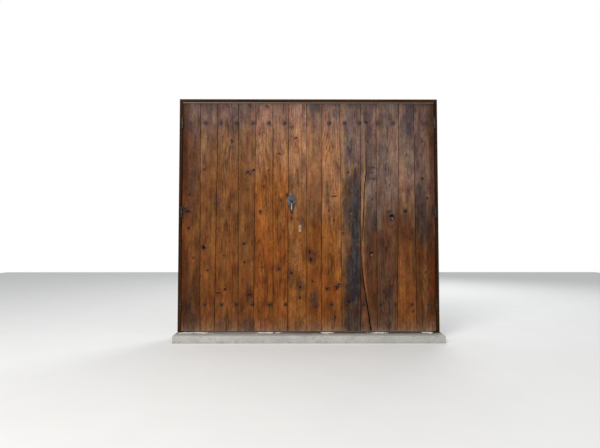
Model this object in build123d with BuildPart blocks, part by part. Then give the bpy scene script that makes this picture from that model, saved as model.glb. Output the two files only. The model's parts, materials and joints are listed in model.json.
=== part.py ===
from build123d import *
import os
from math import asin, degrees, hypot

# A double-leaf barn door of reclaimed boards, in its timber frame on a granite sill. All sizes in mm.
# X runs along the wall, +Y goes into the building, +Z is up. The origin is in the middle of the
# opening, at the ground under the sill, in the plane of the boards' faces. Both leaves swing out,
# towards -Y. Heights are measured from the sill's top, and the pieces are set on the sill at the end.
# A "distance" on a leaf is measured from its hinge edge towards the meeting line.
# side is -1 for the left leaf and +1 for the right one, seen from the front.

# Opening and frame
opening_w = 2600.0
frame_h = 2334.0
frame_depth = 110.0
jamb_face = 30.0  # width of a jamb that shows beside its leaf
head_face = 30.0
stop_w = 28.0  # how far the stop stands in behind a leaf
frame_arris = 2.5
tenon_w = 34.0
tenon_t = 24.0
tenon_h = 36.0
tenon_play = 0.3
peg_r = 5.0
peg_pitch = 16.0
peg_play = 0.2
peg_cover = 14.0  # timber left in front of a peg's end
wall_fixing_r = 6.5
wall_fixing_foot = 300.0  # height of the lowest
wall_fixing_drop = 284.0  # from the head's top to the highest
wall_fixing_step = 550.0

# Sill
sill_front = 183.0  # from the boards' faces out to the wall's face
sill_back = 20.0  # behind the frame
sill_h = 70.0
sill_arris = 7.0

# Leaves
board_t = 30.0
side_gap = 4.0
top_gap = 4.0
foot_gap = 10.0
meeting_gap = 3.0
meeting_shift = 22.0  # the meeting line stands this far left of the middle
seat_gap = 5.0  # between a leaf's back and the stop
joint_gap = 2.0  # open joint between two boards' faces
board_arris = 1.5
tongue_t = 8.0
tongue_l = 9.0
groove_play = 0.5
groove_spare = 1.0
tongue_set = 11.0  # from the face to the tongue

# Board widths from the hinge edge inwards, as shares of the leaf's width. The board at the meeting
# line takes what is left.
left_top_shares = (0.141, 0.1434, 0.1652, 0.1418, 0.137, 0.1313)
left_foot_shares = (0.1515, 0.1136, 0.1902, 0.1217, 0.1579, 0.1136)
right_top_shares = (0.158, 0.1167, 0.1782, 0.1206, 0.1658, 0.1377)
right_foot_shares = (0.1486, 0.151, 0.1541, 0.1292, 0.1401, 0.1626)

# Knot holes: shares of the board's width and height, from its left edge and its foot
knot_boards = (2, 3, 11, 12, 13)
knot_across = (0.224, 0.439, 0.656, 0.727, 0.441)
knot_up = (0.3615, 0.1801, 0.3352, 0.4978, 0.5179)
knot_widths = (24.0, 18.0, 20.0, 30.0, 24.0)
knot_lengths = (30.0, 20.0, 26.0, 36.0, 28.0)
knots = tuple(zip(knot_boards, knot_across, knot_up, knot_widths, knot_lengths))
knot_depth = 12.0

# The splits in one board, also by shares, with their opening widths. The lower one goes right
# through and out at the foot, the upper one is open at the face only.
split_board = 11
lower_split_across = (0.072, 0.151, 0.347, 0.634)
lower_split_up = (0.2819, 0.2198, 0.1289, -0.0044)
lower_split_widths = (1.5, 3.5, 5.0, 9.0)
upper_split_across = (0.332, 0.331, 0.257, 0.112)
upper_split_up = (0.7898, 0.6923, 0.6394, 0.4261)
upper_split_widths = (1.0, 3.0, 3.0, 1.0)
upper_split_depth = 10.0

# Capping strip over the top of each leaf
cap_t = 2.0
cap_lip = 9.0
cap_play = 0.3

# Ledges and braces on the backs of the leaves
ledge_w = 120.0
ledge_t = 38.0
ledge_arris = 5.0
ledge_hinge_clear = 26.0  # from the stop to the end of a ledge
ledge_meeting_inset = 31.5
foot_ledge_z = 273.0
top_ledge_drop = 212.0  # from the head's underside
middle_ledge_lift = 9.5  # above the middle of the other two
brace_w = 110.0
brace_foot = 90.0  # from the hinge edge
brace_share = 0.6  # of the leaf's width that a brace leans across

# Coach bolts, through boards and ledges. Their places are distances as shares of the leaf's width.
bolt_head_r = 16.0
bolt_head_h = 8.0
bolt_r = 5.0
bolt_play = 0.3
bolt_end = 3.0  # past the nut
nut_flats = 17.0
nut_h = 9.0
washer_r = 14.0
washer_t = 2.5
left_top_bolts = (0.0564, 0.1845, 0.3086, 0.4327, 0.5665, 0.6986, 0.8276)
left_foot_bolts = (0.0629, 0.1878, 0.3223, 0.4392, 0.5657, 0.7083, 0.8348)
right_top_bolts = (0.063, 0.1953, 0.323, 0.4405, 0.5868, 0.7004, 0.8226)
right_foot_bolts = (0.0545, 0.1829, 0.3128, 0.4265, 0.5634, 0.6903, 0.8086)

# Screws through the ledges into the boards that no coach bolt holds
screw_r = 2.6
screw_head_r = 6.5
screw_head_h = 2.6
screw_grip = 18.0  # in the board
screw_spread = 30.0  # above and below the ledge's middle
screw_from_meeting = 126.5

# Hinges, one at each ledge: two knuckles on a pin, plates let into the edges of jamb and leaf
hinge_h = 110.0
knuckle_r = 9.0
knuckle_stand = 0.5  # from the boards' faces to the knuckle
plate_t = 3.0
plate_sunk = 2.0
plate_front = 2.0
plate_back = 28.0
pin_r = 5.0
pin_play = 0.05
pin_head_r = 7.5
pin_head_h = 3.0
hinge_washer_t = 1.6
hinge_washer_gap = 0.4

# Drop pull on its lozenge plate
pull_from_meeting = 146.5
pull_above_ledge = 115.0  # from the middle ledge up to the lozenge's widest line
lozenge_w = 94.0
lozenge_up = 86.0
lozenge_down = 135.0
lozenge_hollow = 4.0  # how far its edges curve in
lozenge_t = 5.0
lozenge_bevel = 3.5
lozenge_bevel_w = 14.0
boss_r = 17.0
boss_h = 9.0
boss_drop = 10.0  # below the lozenge's widest line
stud_r = 5.0
ear_t = 4.0
ear_r = 8.0
ear_slot = 11.0
pull_pivot_out = 22.0  # from the boards' faces
pull_pivot_drop = 11.0  # below the boss
pull_pin_r = 3.0
pull_pin_head_r = 5.0
pull_pin_head_h = 2.0
pull_play = 0.1
pull_eye_r = 7.0
pull_eye_w = 10.0
pull_l = 104.0
pull_neck_r = 3.8
pull_bulb_r = 9.5

# Lock: sleeve and plug through the board, case behind, strike on the other leaf
lock_below_ledge = 164.0  # from the middle ledge
lock_from_meeting = 63.5
sleeve_r = 11.0
sleeve_front = 6.0
plug_r = 8.0
plug_set_back = 0.5
plug_in_case = 6.0
key_slot_w = 2.2
key_slot_h = 9.0
key_slot_depth = 12.0
lock_play = 0.3
escutcheon_w = 26.0
escutcheon_h = 70.0
escutcheon_t = 3.0
escutcheon_round = 12.0
case_l = 130.0
case_h = 100.0
case_t = 22.0
case_inset = 5.5
case_round = 3.0
lock_bolt_l = 90.0
lock_bolt_h = 30.0
lock_bolt_t = 10.0
lock_bolt_set = 9.0  # from the boards' backs to the bolt
lock_throw = 35.0
strike_l = 60.0
strike_h = 76.0
strike_play = 2.0
strike_spare = 3.0  # left past the end of the thrown bolt

# Shoot bolts behind the right leaf, and their keepers
bar_w = 16.0
bar_past_ledge = 94.0  # that the foot bolt's bar reaches above its ledge
bar_from_meeting = 76.5
bar_lead = 3.0
bar_throw = 30.0
bar_rest_gap = 7.0
bar_play = 0.4
knob_from_end = 88.0
knob_neck_r = 5.0
knob_neck_l = 14.0
knob_r = 10.0
guide_h = 24.0
guide_base = 4.0
guide_wall = 6.0
guide_flange = 14.0
guide_from_end = 45.0
keeper_w = 44.0
keeper_t = 4.0
keeper_play = 2.0
keeper_depth = 34.0

# Places that follow from the sizes above
half_w = opening_w / 2
rebate = board_t + seat_gap
jamb_w = jamb_face + stop_w
head_foot = frame_h - head_face
stop_foot = head_foot - stop_w
leaf_top = head_foot - top_gap
board_top = leaf_top - cap_t
hinge_edge = half_w - jamb_face - side_gap
hinge_x = hinge_edge + side_gap / 2
hinge_y = -(knuckle_r + knuckle_stand)
top_fixing_z = frame_h - wall_fixing_drop
wall_fixing_heights = (
    wall_fixing_foot,
    wall_fixing_foot + wall_fixing_step,
    top_fixing_z - wall_fixing_step,
    top_fixing_z,
)
top_ledge_z = head_foot - top_ledge_drop
middle_ledge_z = (foot_ledge_z + top_ledge_z) / 2 + middle_ledge_lift
hinge_heights = (foot_ledge_z, middle_ledge_z, top_ledge_z)
pull_z = middle_ledge_z + pull_above_ledge
lock_z = middle_ledge_z - lock_below_ledge
bar_l = foot_ledge_z + ledge_w / 2 + bar_past_ledge - bar_rest_gap
tenon_x = half_w - jamb_w / 2
tenon_y = (rebate + frame_depth) / 2
ledge_back = board_t + ledge_t
groove_l = tongue_l - joint_gap + groove_spare
hole_r = bolt_r + bolt_play
bar_y = ledge_back + guide_base + bar_play + bar_w / 2
boss_z = pull_z - boss_drop
pivot_y = -pull_pivot_out
pivot_z = boss_z - pull_pivot_drop
lock_bolt_y = board_t + lock_bolt_set + lock_bolt_t / 2


def facing(y):
    """Plane at depth y, drawn on in X and Z as seen from the front. A negative extrusion goes inwards."""
    return Plane(origin=(0, y, 0), x_dir=(1, 0, 0), z_dir=(0, -1, 0))


def across(side, distance):
    """X of a place on a leaf."""
    return side * (hinge_edge - distance)


def leaf_width(side):
    return hinge_edge + side * meeting_shift - meeting_gap / 2


def from_meeting(side, distance):
    """X of a place measured from a leaf's edge at the meeting line."""
    return across(side, leaf_width(side) - distance)


def copies(piece, places):
    """One piece at several places, as separate solids."""
    with BuildPart() as group:
        with Locations(*places):
            add(piece)
    return group.part


# Frame


def peg_places(side):
    """X and Z of the two pegs through a jamb's tenon."""
    return [(side * tenon_x + dx, stop_foot + tenon_h / 2) for dx in (-peg_pitch / 2, peg_pitch / 2)]


def jamb(side):
    with BuildPart() as post:
        with BuildSketch():
            with Locations((side * (half_w - jamb_face / 2), rebate / 2)):
                Rectangle(jamb_face, rebate)
        extrude(amount=head_foot)
        with BuildSketch():
            with Locations((side * (half_w - jamb_w / 2), (rebate + frame_depth) / 2)):
                Rectangle(jamb_w, frame_depth - rebate)
        extrude(amount=stop_foot)
        with BuildSketch(Plane.XY.offset(stop_foot)):
            with Locations((side * tenon_x, tenon_y)):
                Rectangle(tenon_w, tenon_t)
        extrude(amount=tenon_h)
        front_edges = post.edges().filter_by(Axis.Z).group_by(Axis.Y)[0]
        chamfer(front_edges.sort_by(lambda edge: side * edge.center().X)[0], frame_arris)
        with BuildSketch(Plane.XZ.offset(-frame_depth)):
            with Locations(*peg_places(side)):
                Circle(peg_r + peg_play)
        extrude(amount=frame_depth - rebate - peg_cover, mode=Mode.SUBTRACT)
        with BuildSketch(Plane.YZ.offset(side * half_w)):
            with Locations(*[(tenon_y, z) for z in wall_fixing_heights]):
                Circle(wall_fixing_r)
        extrude(amount=-side * jamb_w, mode=Mode.SUBTRACT)
        for z in hinge_heights:
            with Locations((side * (half_w - jamb_face + plate_sunk / 2), plate_back / 2, z)):
                Box(plate_sunk, plate_back, hinge_h, mode=Mode.SUBTRACT)
    return post.part


with BuildPart() as head:
    with BuildSketch(Plane.YZ.offset(-half_w)):
        with BuildLine():
            Polyline(
                (0, head_foot),
                (0, frame_h),
                (frame_depth, frame_h),
                (frame_depth, stop_foot),
                (rebate, stop_foot),
                (rebate, head_foot),
                close=True,
            )
        make_face()
    extrude(amount=opening_w)
    chamfer(head.edges().filter_by(Axis.X).group_by(Axis.Y)[0].sort_by(Axis.Z)[0], frame_arris)
    with BuildSketch(Plane.XY.offset(stop_foot)):
        with Locations((-tenon_x, tenon_y), (tenon_x, tenon_y)):
            Rectangle(tenon_w + 2 * tenon_play, tenon_t + 2 * tenon_play)
    extrude(amount=tenon_h + tenon_play, mode=Mode.SUBTRACT)
    with BuildSketch(Plane.XZ.offset(-frame_depth)):
        with Locations(*peg_places(-1), *peg_places(1)):
            Circle(peg_r + peg_play)
    extrude(amount=frame_depth - rebate - peg_cover, mode=Mode.SUBTRACT)
    with BuildSketch(Plane.XY.offset(stop_foot)):
        with Locations((from_meeting(1, bar_from_meeting), bar_y)):
            Rectangle(keeper_w, keeper_w)
    extrude(amount=keeper_t, mode=Mode.SUBTRACT)
    with BuildSketch(Plane.XY.offset(stop_foot)):
        with Locations((from_meeting(1, bar_from_meeting), bar_y)):
            Rectangle(bar_w + 2 * keeper_play, bar_w + 2 * keeper_play)
    extrude(amount=keeper_depth, mode=Mode.SUBTRACT)

with BuildPart() as peg:
    with BuildSketch(Plane.XZ.offset(-frame_depth)):
        Circle(peg_r)
    extrude(amount=frame_depth - rebate - peg_cover)

with BuildPart() as sill:
    with BuildSketch():
        with Locations((0, (frame_depth + sill_back - sill_front) / 2)):
            Rectangle(opening_w, sill_front + frame_depth + sill_back)
    extrude(amount=-sill_h)
    fillet(sill.edges().filter_by(Axis.X).group_by(Axis.Y)[0].sort_by(Axis.Z)[-1], sill_arris)
    with BuildSketch():
        with Locations((from_meeting(1, bar_from_meeting), bar_y)):
            Rectangle(keeper_w, keeper_w)
    extrude(amount=-keeper_t, mode=Mode.SUBTRACT)
    with BuildSketch():
        with Locations((from_meeting(1, bar_from_meeting), bar_y)):
            Rectangle(bar_w + 2 * keeper_play, bar_w + 2 * keeper_play)
    extrude(amount=-keeper_depth, mode=Mode.SUBTRACT)

with BuildPart() as bolt_keepers:
    for z in (-keeper_t, stop_foot):
        with BuildSketch(Plane.XY.offset(z)):
            with Locations((from_meeting(1, bar_from_meeting), bar_y)):
                Rectangle(keeper_w, keeper_w)
                Rectangle(bar_w + 2 * keeper_play, bar_w + 2 * keeper_play, mode=Mode.SUBTRACT)
        extrude(amount=keeper_t)


# Boards


def joints(shares, side):
    """Distances of a leaf's board edges, from the hinge edge to the meeting line."""
    places = [0.0]
    for share in shares:
        places.append(places[-1] + share * leaf_width(side))
    return places + [leaf_width(side)]


left_foot_joints = joints(left_foot_shares, -1)
left_top_joints = joints(left_top_shares, -1)
right_foot_joints = joints(right_foot_shares, 1)
right_top_joints = joints(right_top_shares, 1)
boards_left = len(left_foot_joints) - 1
boards_in_all = boards_left + len(right_foot_joints) - 1


def leaf_of(number):
    return -1 if number <= boards_left else 1


def board_edges(number, height):
    """X of a board's left and right edges at a height, open joints taken off."""
    side = leaf_of(number)
    order = number - 1 if side < 0 else boards_in_all - number
    foot, top = (left_foot_joints, left_top_joints) if side < 0 else (right_foot_joints, right_top_joints)
    share = (height - foot_gap) / (board_top - foot_gap)
    near, far = [foot[i] + (top[i] - foot[i]) * share for i in (order, order + 1)]
    if order > 0:
        near += joint_gap / 2
    if order + 2 < len(foot):
        far -= joint_gap / 2
    return sorted((across(side, near), across(side, far)))


def board_section(low, high, tongue, groove):
    """Plan of a board between its two edges, tongue to the right, groove on the left."""
    points = [(low + board_arris, 0), (high - board_arris, 0), (high, board_arris)]
    if tongue:
        points += [(high, tongue_set), (high + tongue_l, tongue_set)]
        points += [(high + tongue_l, tongue_set + tongue_t), (high, tongue_set + tongue_t)]
    points += [(high, board_t), (low, board_t)]
    if groove:
        groove_front, groove_end = tongue_set - groove_play, tongue_set + tongue_t + groove_play
        points += [(low, groove_end), (low + groove_l, groove_end)]
        points += [(low + groove_l, groove_front), (low, groove_front)]
    return points + [(low, board_arris)]


def bolt_places(side):
    """X and Z of a leaf's coach bolts."""
    top, foot = (left_top_bolts, left_foot_bolts) if side < 0 else (right_top_bolts, right_foot_bolts)
    rows = ((top, top_ledge_z), (foot, foot_ledge_z))
    return [(across(side, share * leaf_width(side)), z) for shares, z in rows for share in shares]


def leaf_numbers(side):
    return [n for n in range(1, boards_in_all + 1) if leaf_of(n) == side]


def screw_places(side):
    """X and Z of the ledge screws: pairs at the meeting line, one to each board on the middle ledge."""
    x = from_meeting(side, screw_from_meeting)
    pairs = [(x, z + dz) for z in (foot_ledge_z, top_ledge_z) for dz in (-screw_spread, screw_spread)]
    middles = [sum(board_edges(n, middle_ledge_z)) / 2 for n in leaf_numbers(side)]
    return pairs + [(x, middle_ledge_z) for x in middles]


def inside(places, low, high, reach):
    """The places whose holes reach a board between two edges."""
    return [(x, z) for x, z in places if low - reach < x < high + reach]


def on_board(number, across_share, up_share):
    """X and Z of a place on a board's face."""
    z = foot_gap + up_share * (board_top - foot_gap)
    low, high = board_edges(number, z)
    return low + across_share * (high - low), z


def split_outline(number, across_shares, up_shares, widths):
    middles = [on_board(number, a, u) for a, u in zip(across_shares, up_shares)]
    left_side = [(x - width / 2, z) for (x, z), width in zip(middles, widths)]
    right_side = [(x + width / 2, z) for (x, z), width in zip(middles, widths)]
    return left_side + right_side[::-1]


lower_split = split_outline(split_board, lower_split_across, lower_split_up, lower_split_widths)
upper_split = split_outline(split_board, upper_split_across, upper_split_up, upper_split_widths)


def board(number):
    side = leaf_of(number)
    foot_edges = board_edges(number, foot_gap)
    top_edges = board_edges(number, board_top)
    tongue = number not in (boards_left, boards_in_all)
    groove = number not in (1, boards_left + 1)
    low, high = min(foot_edges[0], top_edges[0]), max(foot_edges[1], top_edges[1]) + tongue_l
    through = inside(bolt_places(side), low, high, hole_r)
    screws = inside(screw_places(side), low, high, screw_r)
    with BuildPart() as plank:
        for z, edges in ((foot_gap, foot_edges), (board_top, top_edges)):
            with BuildSketch(Plane.XY.offset(z)):
                with BuildLine():
                    Polyline(*board_section(*edges, tongue, groove), close=True)
                make_face()
        loft(ruled=True)
        if through:
            with BuildSketch(facing(0)):
                with Locations(*through):
                    Circle(hole_r)
            extrude(amount=-board_t, mode=Mode.SUBTRACT)
        if screws:
            with BuildSketch(facing(board_t)):
                with Locations(*screws):
                    Circle(screw_r + bolt_play)
            extrude(amount=screw_grip + bolt_play, mode=Mode.SUBTRACT)
        if number in (1, boards_in_all):
            for z in hinge_heights:
                with Locations((side * (hinge_edge - plate_sunk / 2), plate_back / 2, z)):
                    Box(plate_sunk, plate_back, hinge_h, mode=Mode.SUBTRACT)
        if side < 0 and low < from_meeting(-1, pull_from_meeting) + stud_r < high + 2 * stud_r:
            with BuildSketch(facing(0)):
                with Locations((from_meeting(-1, pull_from_meeting), boss_z)):
                    Circle(stud_r + bolt_play)
            extrude(amount=-board_t, mode=Mode.SUBTRACT)
        if side < 0 and low < from_meeting(-1, lock_from_meeting) + sleeve_r < high + 2 * sleeve_r:
            with BuildSketch(facing(0)):
                with Locations((from_meeting(-1, lock_from_meeting), lock_z)):
                    Circle(sleeve_r + lock_play)
            extrude(amount=-board_t, mode=Mode.SUBTRACT)
        for owner, aside, up, width, length in knots:
            if owner == number:
                with BuildSketch(facing(0)):
                    with Locations(on_board(number, aside, up)):
                        Ellipse(width / 2, length / 2)
                extrude(amount=-knot_depth, mode=Mode.SUBTRACT)
        if number == split_board:
            for outline, depth in ((lower_split, board_t), (upper_split, upper_split_depth)):
                with BuildSketch(facing(0)):
                    with BuildLine():
                        Polyline(*outline, close=True)
                    make_face()
                extrude(amount=-depth, mode=Mode.SUBTRACT)
    return plank.part


# Capping, ledges and braces


def capping(side):
    front, back = -(cap_play + cap_t), board_t + cap_play + cap_t
    with BuildPart() as strip:
        with BuildSketch(Plane.YZ.offset(across(side, 0))):
            with BuildLine():
                Polyline(
                    (front, leaf_top - cap_lip),
                    (front, leaf_top),
                    (back, leaf_top),
                    (back, leaf_top - cap_lip),
                    (back - cap_t, leaf_top - cap_lip),
                    (back - cap_t, leaf_top - cap_t),
                    (front + cap_t, leaf_top - cap_t),
                    (front + cap_t, leaf_top - cap_lip),
                    close=True,
                )
            make_face()
        extrude(amount=-side * leaf_width(side))
    return strip.part


def ledge(side, middle_z):
    start = across(side, stop_w - side_gap + ledge_hinge_clear)
    end = from_meeting(side, ledge_meeting_inset)
    bolts = [p for p in bolt_places(side) if p[1] == middle_z]
    screws = [p for p in screw_places(side) if abs(p[1] - middle_z) < ledge_w / 2]
    with BuildPart() as timber:
        with BuildSketch(facing(board_t)):
            with Locations(((start + end) / 2, middle_z)):
                Rectangle(abs(end - start), ledge_w)
        extrude(amount=-ledge_t)
        chamfer(timber.edges().filter_by(Axis.X).group_by(Axis.Y)[-1], ledge_arris)
        if bolts:
            with BuildSketch(facing(board_t)):
                with Locations(*bolts):
                    Circle(hole_r)
            extrude(amount=-ledge_t, mode=Mode.SUBTRACT)
        with BuildSketch(facing(board_t)):
            with Locations(*screws):
                Circle(screw_r + bolt_play)
        extrude(amount=-ledge_t, mode=Mode.SUBTRACT)
    return timber.part


def brace(side, low_z, high_z):
    """A diagonal from the hinge side up to the meeting side, its ends cut level on the ledges."""
    height = high_z - low_z
    run = brace_share * leaf_width(side)
    level_w = brace_w * hypot(run, height) / height
    corners = (
        (across(side, brace_foot), low_z),
        (across(side, brace_foot + level_w), low_z),
        (across(side, brace_foot + run + level_w), high_z),
        (across(side, brace_foot + run), high_z),
    )
    with BuildPart() as timber:
        with BuildSketch(facing(board_t)):
            with BuildLine():
                Polyline(*corners, close=True)
            make_face()
        extrude(amount=-ledge_t)
        long_edges = timber.edges().group_by(Axis.Y)[-1].sort_by(SortBy.LENGTH)[-2:]
        chamfer(long_edges, ledge_arris)
    return timber.part


# Fasteners

dome_r = (bolt_head_r**2 + bolt_head_h**2) / (2 * bolt_head_h)
with BuildPart() as coach_bolt:
    with BuildSketch():
        with BuildLine():
            crown = JernArc((0, -bolt_head_h), (1, 0), dome_r, degrees(asin(bolt_head_r / dome_r)))
            Polyline(
                crown @ 1,
                (bolt_r, 0),
                (bolt_r, ledge_back + washer_t + nut_h + bolt_end),
                (0, ledge_back + washer_t + nut_h + bolt_end),
                (0, -bolt_head_h),
            )
        make_face()
    revolve(axis=Axis.Y)

with BuildPart() as flange_nut:
    with BuildSketch(facing(ledge_back)):
        Circle(washer_r)
        Circle(hole_r, mode=Mode.SUBTRACT)
    extrude(amount=-washer_t)
    with BuildSketch(facing(ledge_back + washer_t)):
        RegularPolygon(nut_flats / 2, 6, major_radius=False)
        Circle(hole_r, mode=Mode.SUBTRACT)
    extrude(amount=-nut_h)

with BuildPart() as ledge_screw:
    with BuildSketch(facing(board_t - screw_grip)):
        Circle(screw_r)
    extrude(amount=-(ledge_t + screw_grip))
    with BuildSketch(facing(ledge_back)):
        Circle(screw_head_r)
    extrude(amount=-screw_head_h)


# Hinges


def hinge_half(side, on_leaf):
    """Plate and knuckle of one half, at height zero: the leaf's knuckle is the upper one."""
    plate_x = side * hinge_x + (-side if on_leaf else side) * (side_gap / 2 + plate_sunk - plate_t / 2)
    low = (hinge_washer_t + hinge_washer_gap) / 2 if on_leaf else -hinge_h / 2
    knuckle_h = hinge_h / 2 - (hinge_washer_t + hinge_washer_gap) / 2
    with BuildPart() as half:
        with BuildSketch(Plane.XY.offset(-hinge_h / 2)):
            with Locations((plate_x, (plate_front + plate_back) / 2)):
                Rectangle(plate_t, plate_back - plate_front)
        extrude(amount=hinge_h)
        with BuildSketch(Plane.XY.offset(low)):
            with Locations((side * hinge_x, hinge_y)):
                Circle(knuckle_r)
            with Locations((plate_x, (plate_front + hinge_y) / 2)):
                Rectangle(plate_t, plate_front - hinge_y)
        extrude(amount=knuckle_h)
        with BuildSketch(Plane.XY.offset(low)):
            with Locations((side * hinge_x, hinge_y)):
                Circle(pin_r + pin_play)
        extrude(amount=knuckle_h, mode=Mode.SUBTRACT)
    return half.part


with BuildPart() as hinge_pin:
    with BuildSketch(Plane.XY.offset(-hinge_h / 2 - pin_head_h)):
        Circle(pin_head_r)
    extrude(amount=pin_head_h)
    with BuildSketch(Plane.XY.offset(-hinge_h / 2)):
        Circle(pin_r)
    extrude(amount=hinge_h)

with BuildPart() as hinge_washer:
    with BuildSketch(Plane.XY.offset(-(hinge_washer_t + hinge_washer_gap) / 2)):
        Circle(knuckle_r)
        Circle(pin_r + pin_play, mode=Mode.SUBTRACT)
    extrude(amount=hinge_washer_t)


# Drop pull

pull_x = from_meeting(-1, pull_from_meeting)

with BuildPart() as pull_plate:
    corners = (
        (pull_x, pull_z + lozenge_up),
        (pull_x + lozenge_w / 2, pull_z),
        (pull_x, pull_z - lozenge_down),
        (pull_x - lozenge_w / 2, pull_z),
    )
    with BuildSketch(facing(0)):
        with BuildLine():
            for start, end in zip(corners, corners[1:] + corners[:1]):
                SagittaArc(start, end, lozenge_hollow)
        make_face()
    extrude(amount=lozenge_t)
    crown = pull_plate.faces().sort_by(Axis.Y)[0]
    chamfer(crown.edges(), lozenge_bevel_w, lozenge_bevel, reference=crown)
    with BuildSketch(facing(0)):
        with Locations((pull_x, boss_z)):
            Circle(stud_r + bolt_play)
    extrude(amount=lozenge_t, mode=Mode.SUBTRACT)

boss_dome_r = (boss_r**2 + boss_h**2) / (2 * boss_h)
boss_crown = -(lozenge_t + boss_h)
stud_end = board_t + washer_t + nut_h + bolt_end
with BuildPart() as pull_boss:
    with BuildSketch(Plane.XY.offset(boss_z)):
        with BuildLine():
            arc = JernArc((pull_x, boss_crown), (1, 0), boss_dome_r, degrees(asin(boss_r / boss_dome_r)))
            Polyline(
                arc @ 1,
                (pull_x + stud_r, -lozenge_t),
                (pull_x + stud_r, stud_end),
                (pull_x, stud_end),
                (pull_x, boss_crown),
            )
        make_face()
    revolve(axis=Axis((pull_x, 0, boss_z), (0, 1, 0)))
    for ear_side in (-1, 1):
        with BuildSketch(Plane.YZ.offset(pull_x + ear_side * (ear_slot + ear_t) / 2 - ear_t / 2)):
            with Locations((pivot_y, pivot_z)):
                Circle(ear_r)
            with Locations(((pivot_y - lozenge_t) / 2, pivot_z)):
                Rectangle(-pivot_y - lozenge_t, 2 * ear_r)
            with Locations((pivot_y, pivot_z)):
                Circle(pull_pin_r + pull_play, mode=Mode.SUBTRACT)
        extrude(amount=ear_t)

with BuildPart() as pull_nut:
    with BuildSketch(facing(board_t)):
        with Locations((pull_x, boss_z)):
            Circle(washer_r)
            Circle(hole_r, mode=Mode.SUBTRACT)
    extrude(amount=-washer_t)
    with BuildSketch(facing(board_t + washer_t)):
        with Locations((pull_x, boss_z)):
            RegularPolygon(nut_flats / 2, 6, major_radius=False)
            Circle(hole_r, mode=Mode.SUBTRACT)
    extrude(amount=-nut_h)

pull_pin_half = ear_slot / 2 + ear_t
with BuildPart() as pull_pin:
    for start, length, radius in (
        (-pull_pin_half, 2 * pull_pin_half, pull_pin_r),
        (-pull_pin_half - pull_pin_head_h, pull_pin_head_h, pull_pin_head_r),
        (pull_pin_half, pull_pin_head_h, pull_pin_head_r),
    ):
        with BuildSketch(Plane.YZ.offset(pull_x + start)):
            with Locations((pivot_y, pivot_z)):
                Circle(radius)
        extrude(amount=length)

with BuildPart() as drop_pull:
    neck_top = pivot_z - (pull_eye_r + pull_pin_r) / 2
    bulb_z = pivot_z - pull_l + pull_bulb_r
    with BuildSketch(Plane(origin=(pull_x, pivot_y, 0), x_dir=(1, 0, 0), z_dir=(0, -1, 0))):
        with BuildLine():
            side_line = Spline(
                (pull_neck_r, neck_top),
                (pull_neck_r, neck_top - pull_l / 4),
                (pull_bulb_r, bulb_z),
                tangents=((0, -1), (0, -1)),
            )
            tip = RadiusArc(side_line @ 1, (0, bulb_z - pull_bulb_r), pull_bulb_r)
            Polyline(tip @ 1, (0, neck_top), side_line @ 0)
        make_face()
    revolve(axis=Axis((pull_x, pivot_y, 0), (0, 0, 1)))
    with BuildSketch(Plane.YZ.offset(pull_x - pull_eye_w / 2)):
        with Locations((pivot_y, pivot_z)):
            Circle(pull_eye_r)
    extrude(amount=pull_eye_w)
    with BuildSketch(Plane.YZ.offset(pull_x - pull_eye_w / 2)):
        with Locations((pivot_y, pivot_z)):
            Circle(pull_pin_r + pull_play)
    extrude(amount=pull_eye_w, mode=Mode.SUBTRACT)


# Lock

lock_x = from_meeting(-1, lock_from_meeting)
case_end = from_meeting(-1, case_inset)
strike_start = from_meeting(1, case_inset)

with BuildPart() as escutcheon:
    with BuildSketch(facing(0)):
        with Locations((lock_x, lock_z)):
            RectangleRounded(escutcheon_w, escutcheon_h, escutcheon_round)
            Circle(sleeve_r + lock_play, mode=Mode.SUBTRACT)
    extrude(amount=escutcheon_t)

with BuildPart() as lock_cylinder:
    with BuildSketch(facing(board_t)):
        with Locations((lock_x, lock_z)):
            Circle(sleeve_r)
            Circle(plug_r + pin_play, mode=Mode.SUBTRACT)
    extrude(amount=board_t + sleeve_front)

with BuildPart() as lock_plug:
    with BuildSketch(facing(board_t + plug_in_case)):
        with Locations((lock_x, lock_z)):
            Circle(plug_r)
    extrude(amount=board_t + plug_in_case + sleeve_front - plug_set_back)
    with BuildSketch(facing(-sleeve_front + plug_set_back)):
        with Locations((lock_x, lock_z)):
            Rectangle(key_slot_w, key_slot_h)
    extrude(amount=-key_slot_depth, mode=Mode.SUBTRACT)

with BuildPart() as lock_case:
    with BuildSketch(facing(board_t)):
        with Locations((case_end - case_l / 2, lock_z)):
            Rectangle(case_l, case_h)
    extrude(amount=-case_t)
    fillet(lock_case.faces().sort_by(Axis.Y)[-1].edges(), case_round)
    with BuildSketch(Plane.YZ.offset(case_end)):
        with Locations((lock_bolt_y, lock_z)):
            Rectangle(lock_bolt_t + 2 * lock_play, lock_bolt_h + 2 * lock_play)
    extrude(amount=-(lock_bolt_l + 2 * lock_play), mode=Mode.SUBTRACT)
    with BuildSketch(facing(board_t)):
        with Locations((lock_x, lock_z)):
            Circle(plug_r + lock_play)
    extrude(amount=-(plug_in_case + lock_play), mode=Mode.SUBTRACT)

with BuildPart() as lock_bolt:
    with BuildSketch(Plane.YZ.offset(case_end - lock_play)):
        with Locations((lock_bolt_y, lock_z)):
            Rectangle(lock_bolt_t, lock_bolt_h)
    extrude(amount=-lock_bolt_l)

with BuildPart() as strike:
    thrown = case_end - lock_play + lock_throw
    with BuildSketch(facing(board_t)):
        with Locations((strike_start + strike_l / 2, lock_z)):
            Rectangle(strike_l, strike_h)
    extrude(amount=-case_t)
    fillet(strike.faces().sort_by(Axis.Y)[-1].edges(), case_round)
    with BuildSketch(Plane.YZ.offset(strike_start)):
        with Locations((lock_bolt_y, lock_z)):
            Rectangle(lock_bolt_t + 2 * strike_play, lock_bolt_h + 2 * strike_play)
    extrude(amount=thrown + strike_spare - strike_start, mode=Mode.SUBTRACT)


# Shoot bolts

bar_x = from_meeting(1, bar_from_meeting)


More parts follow.
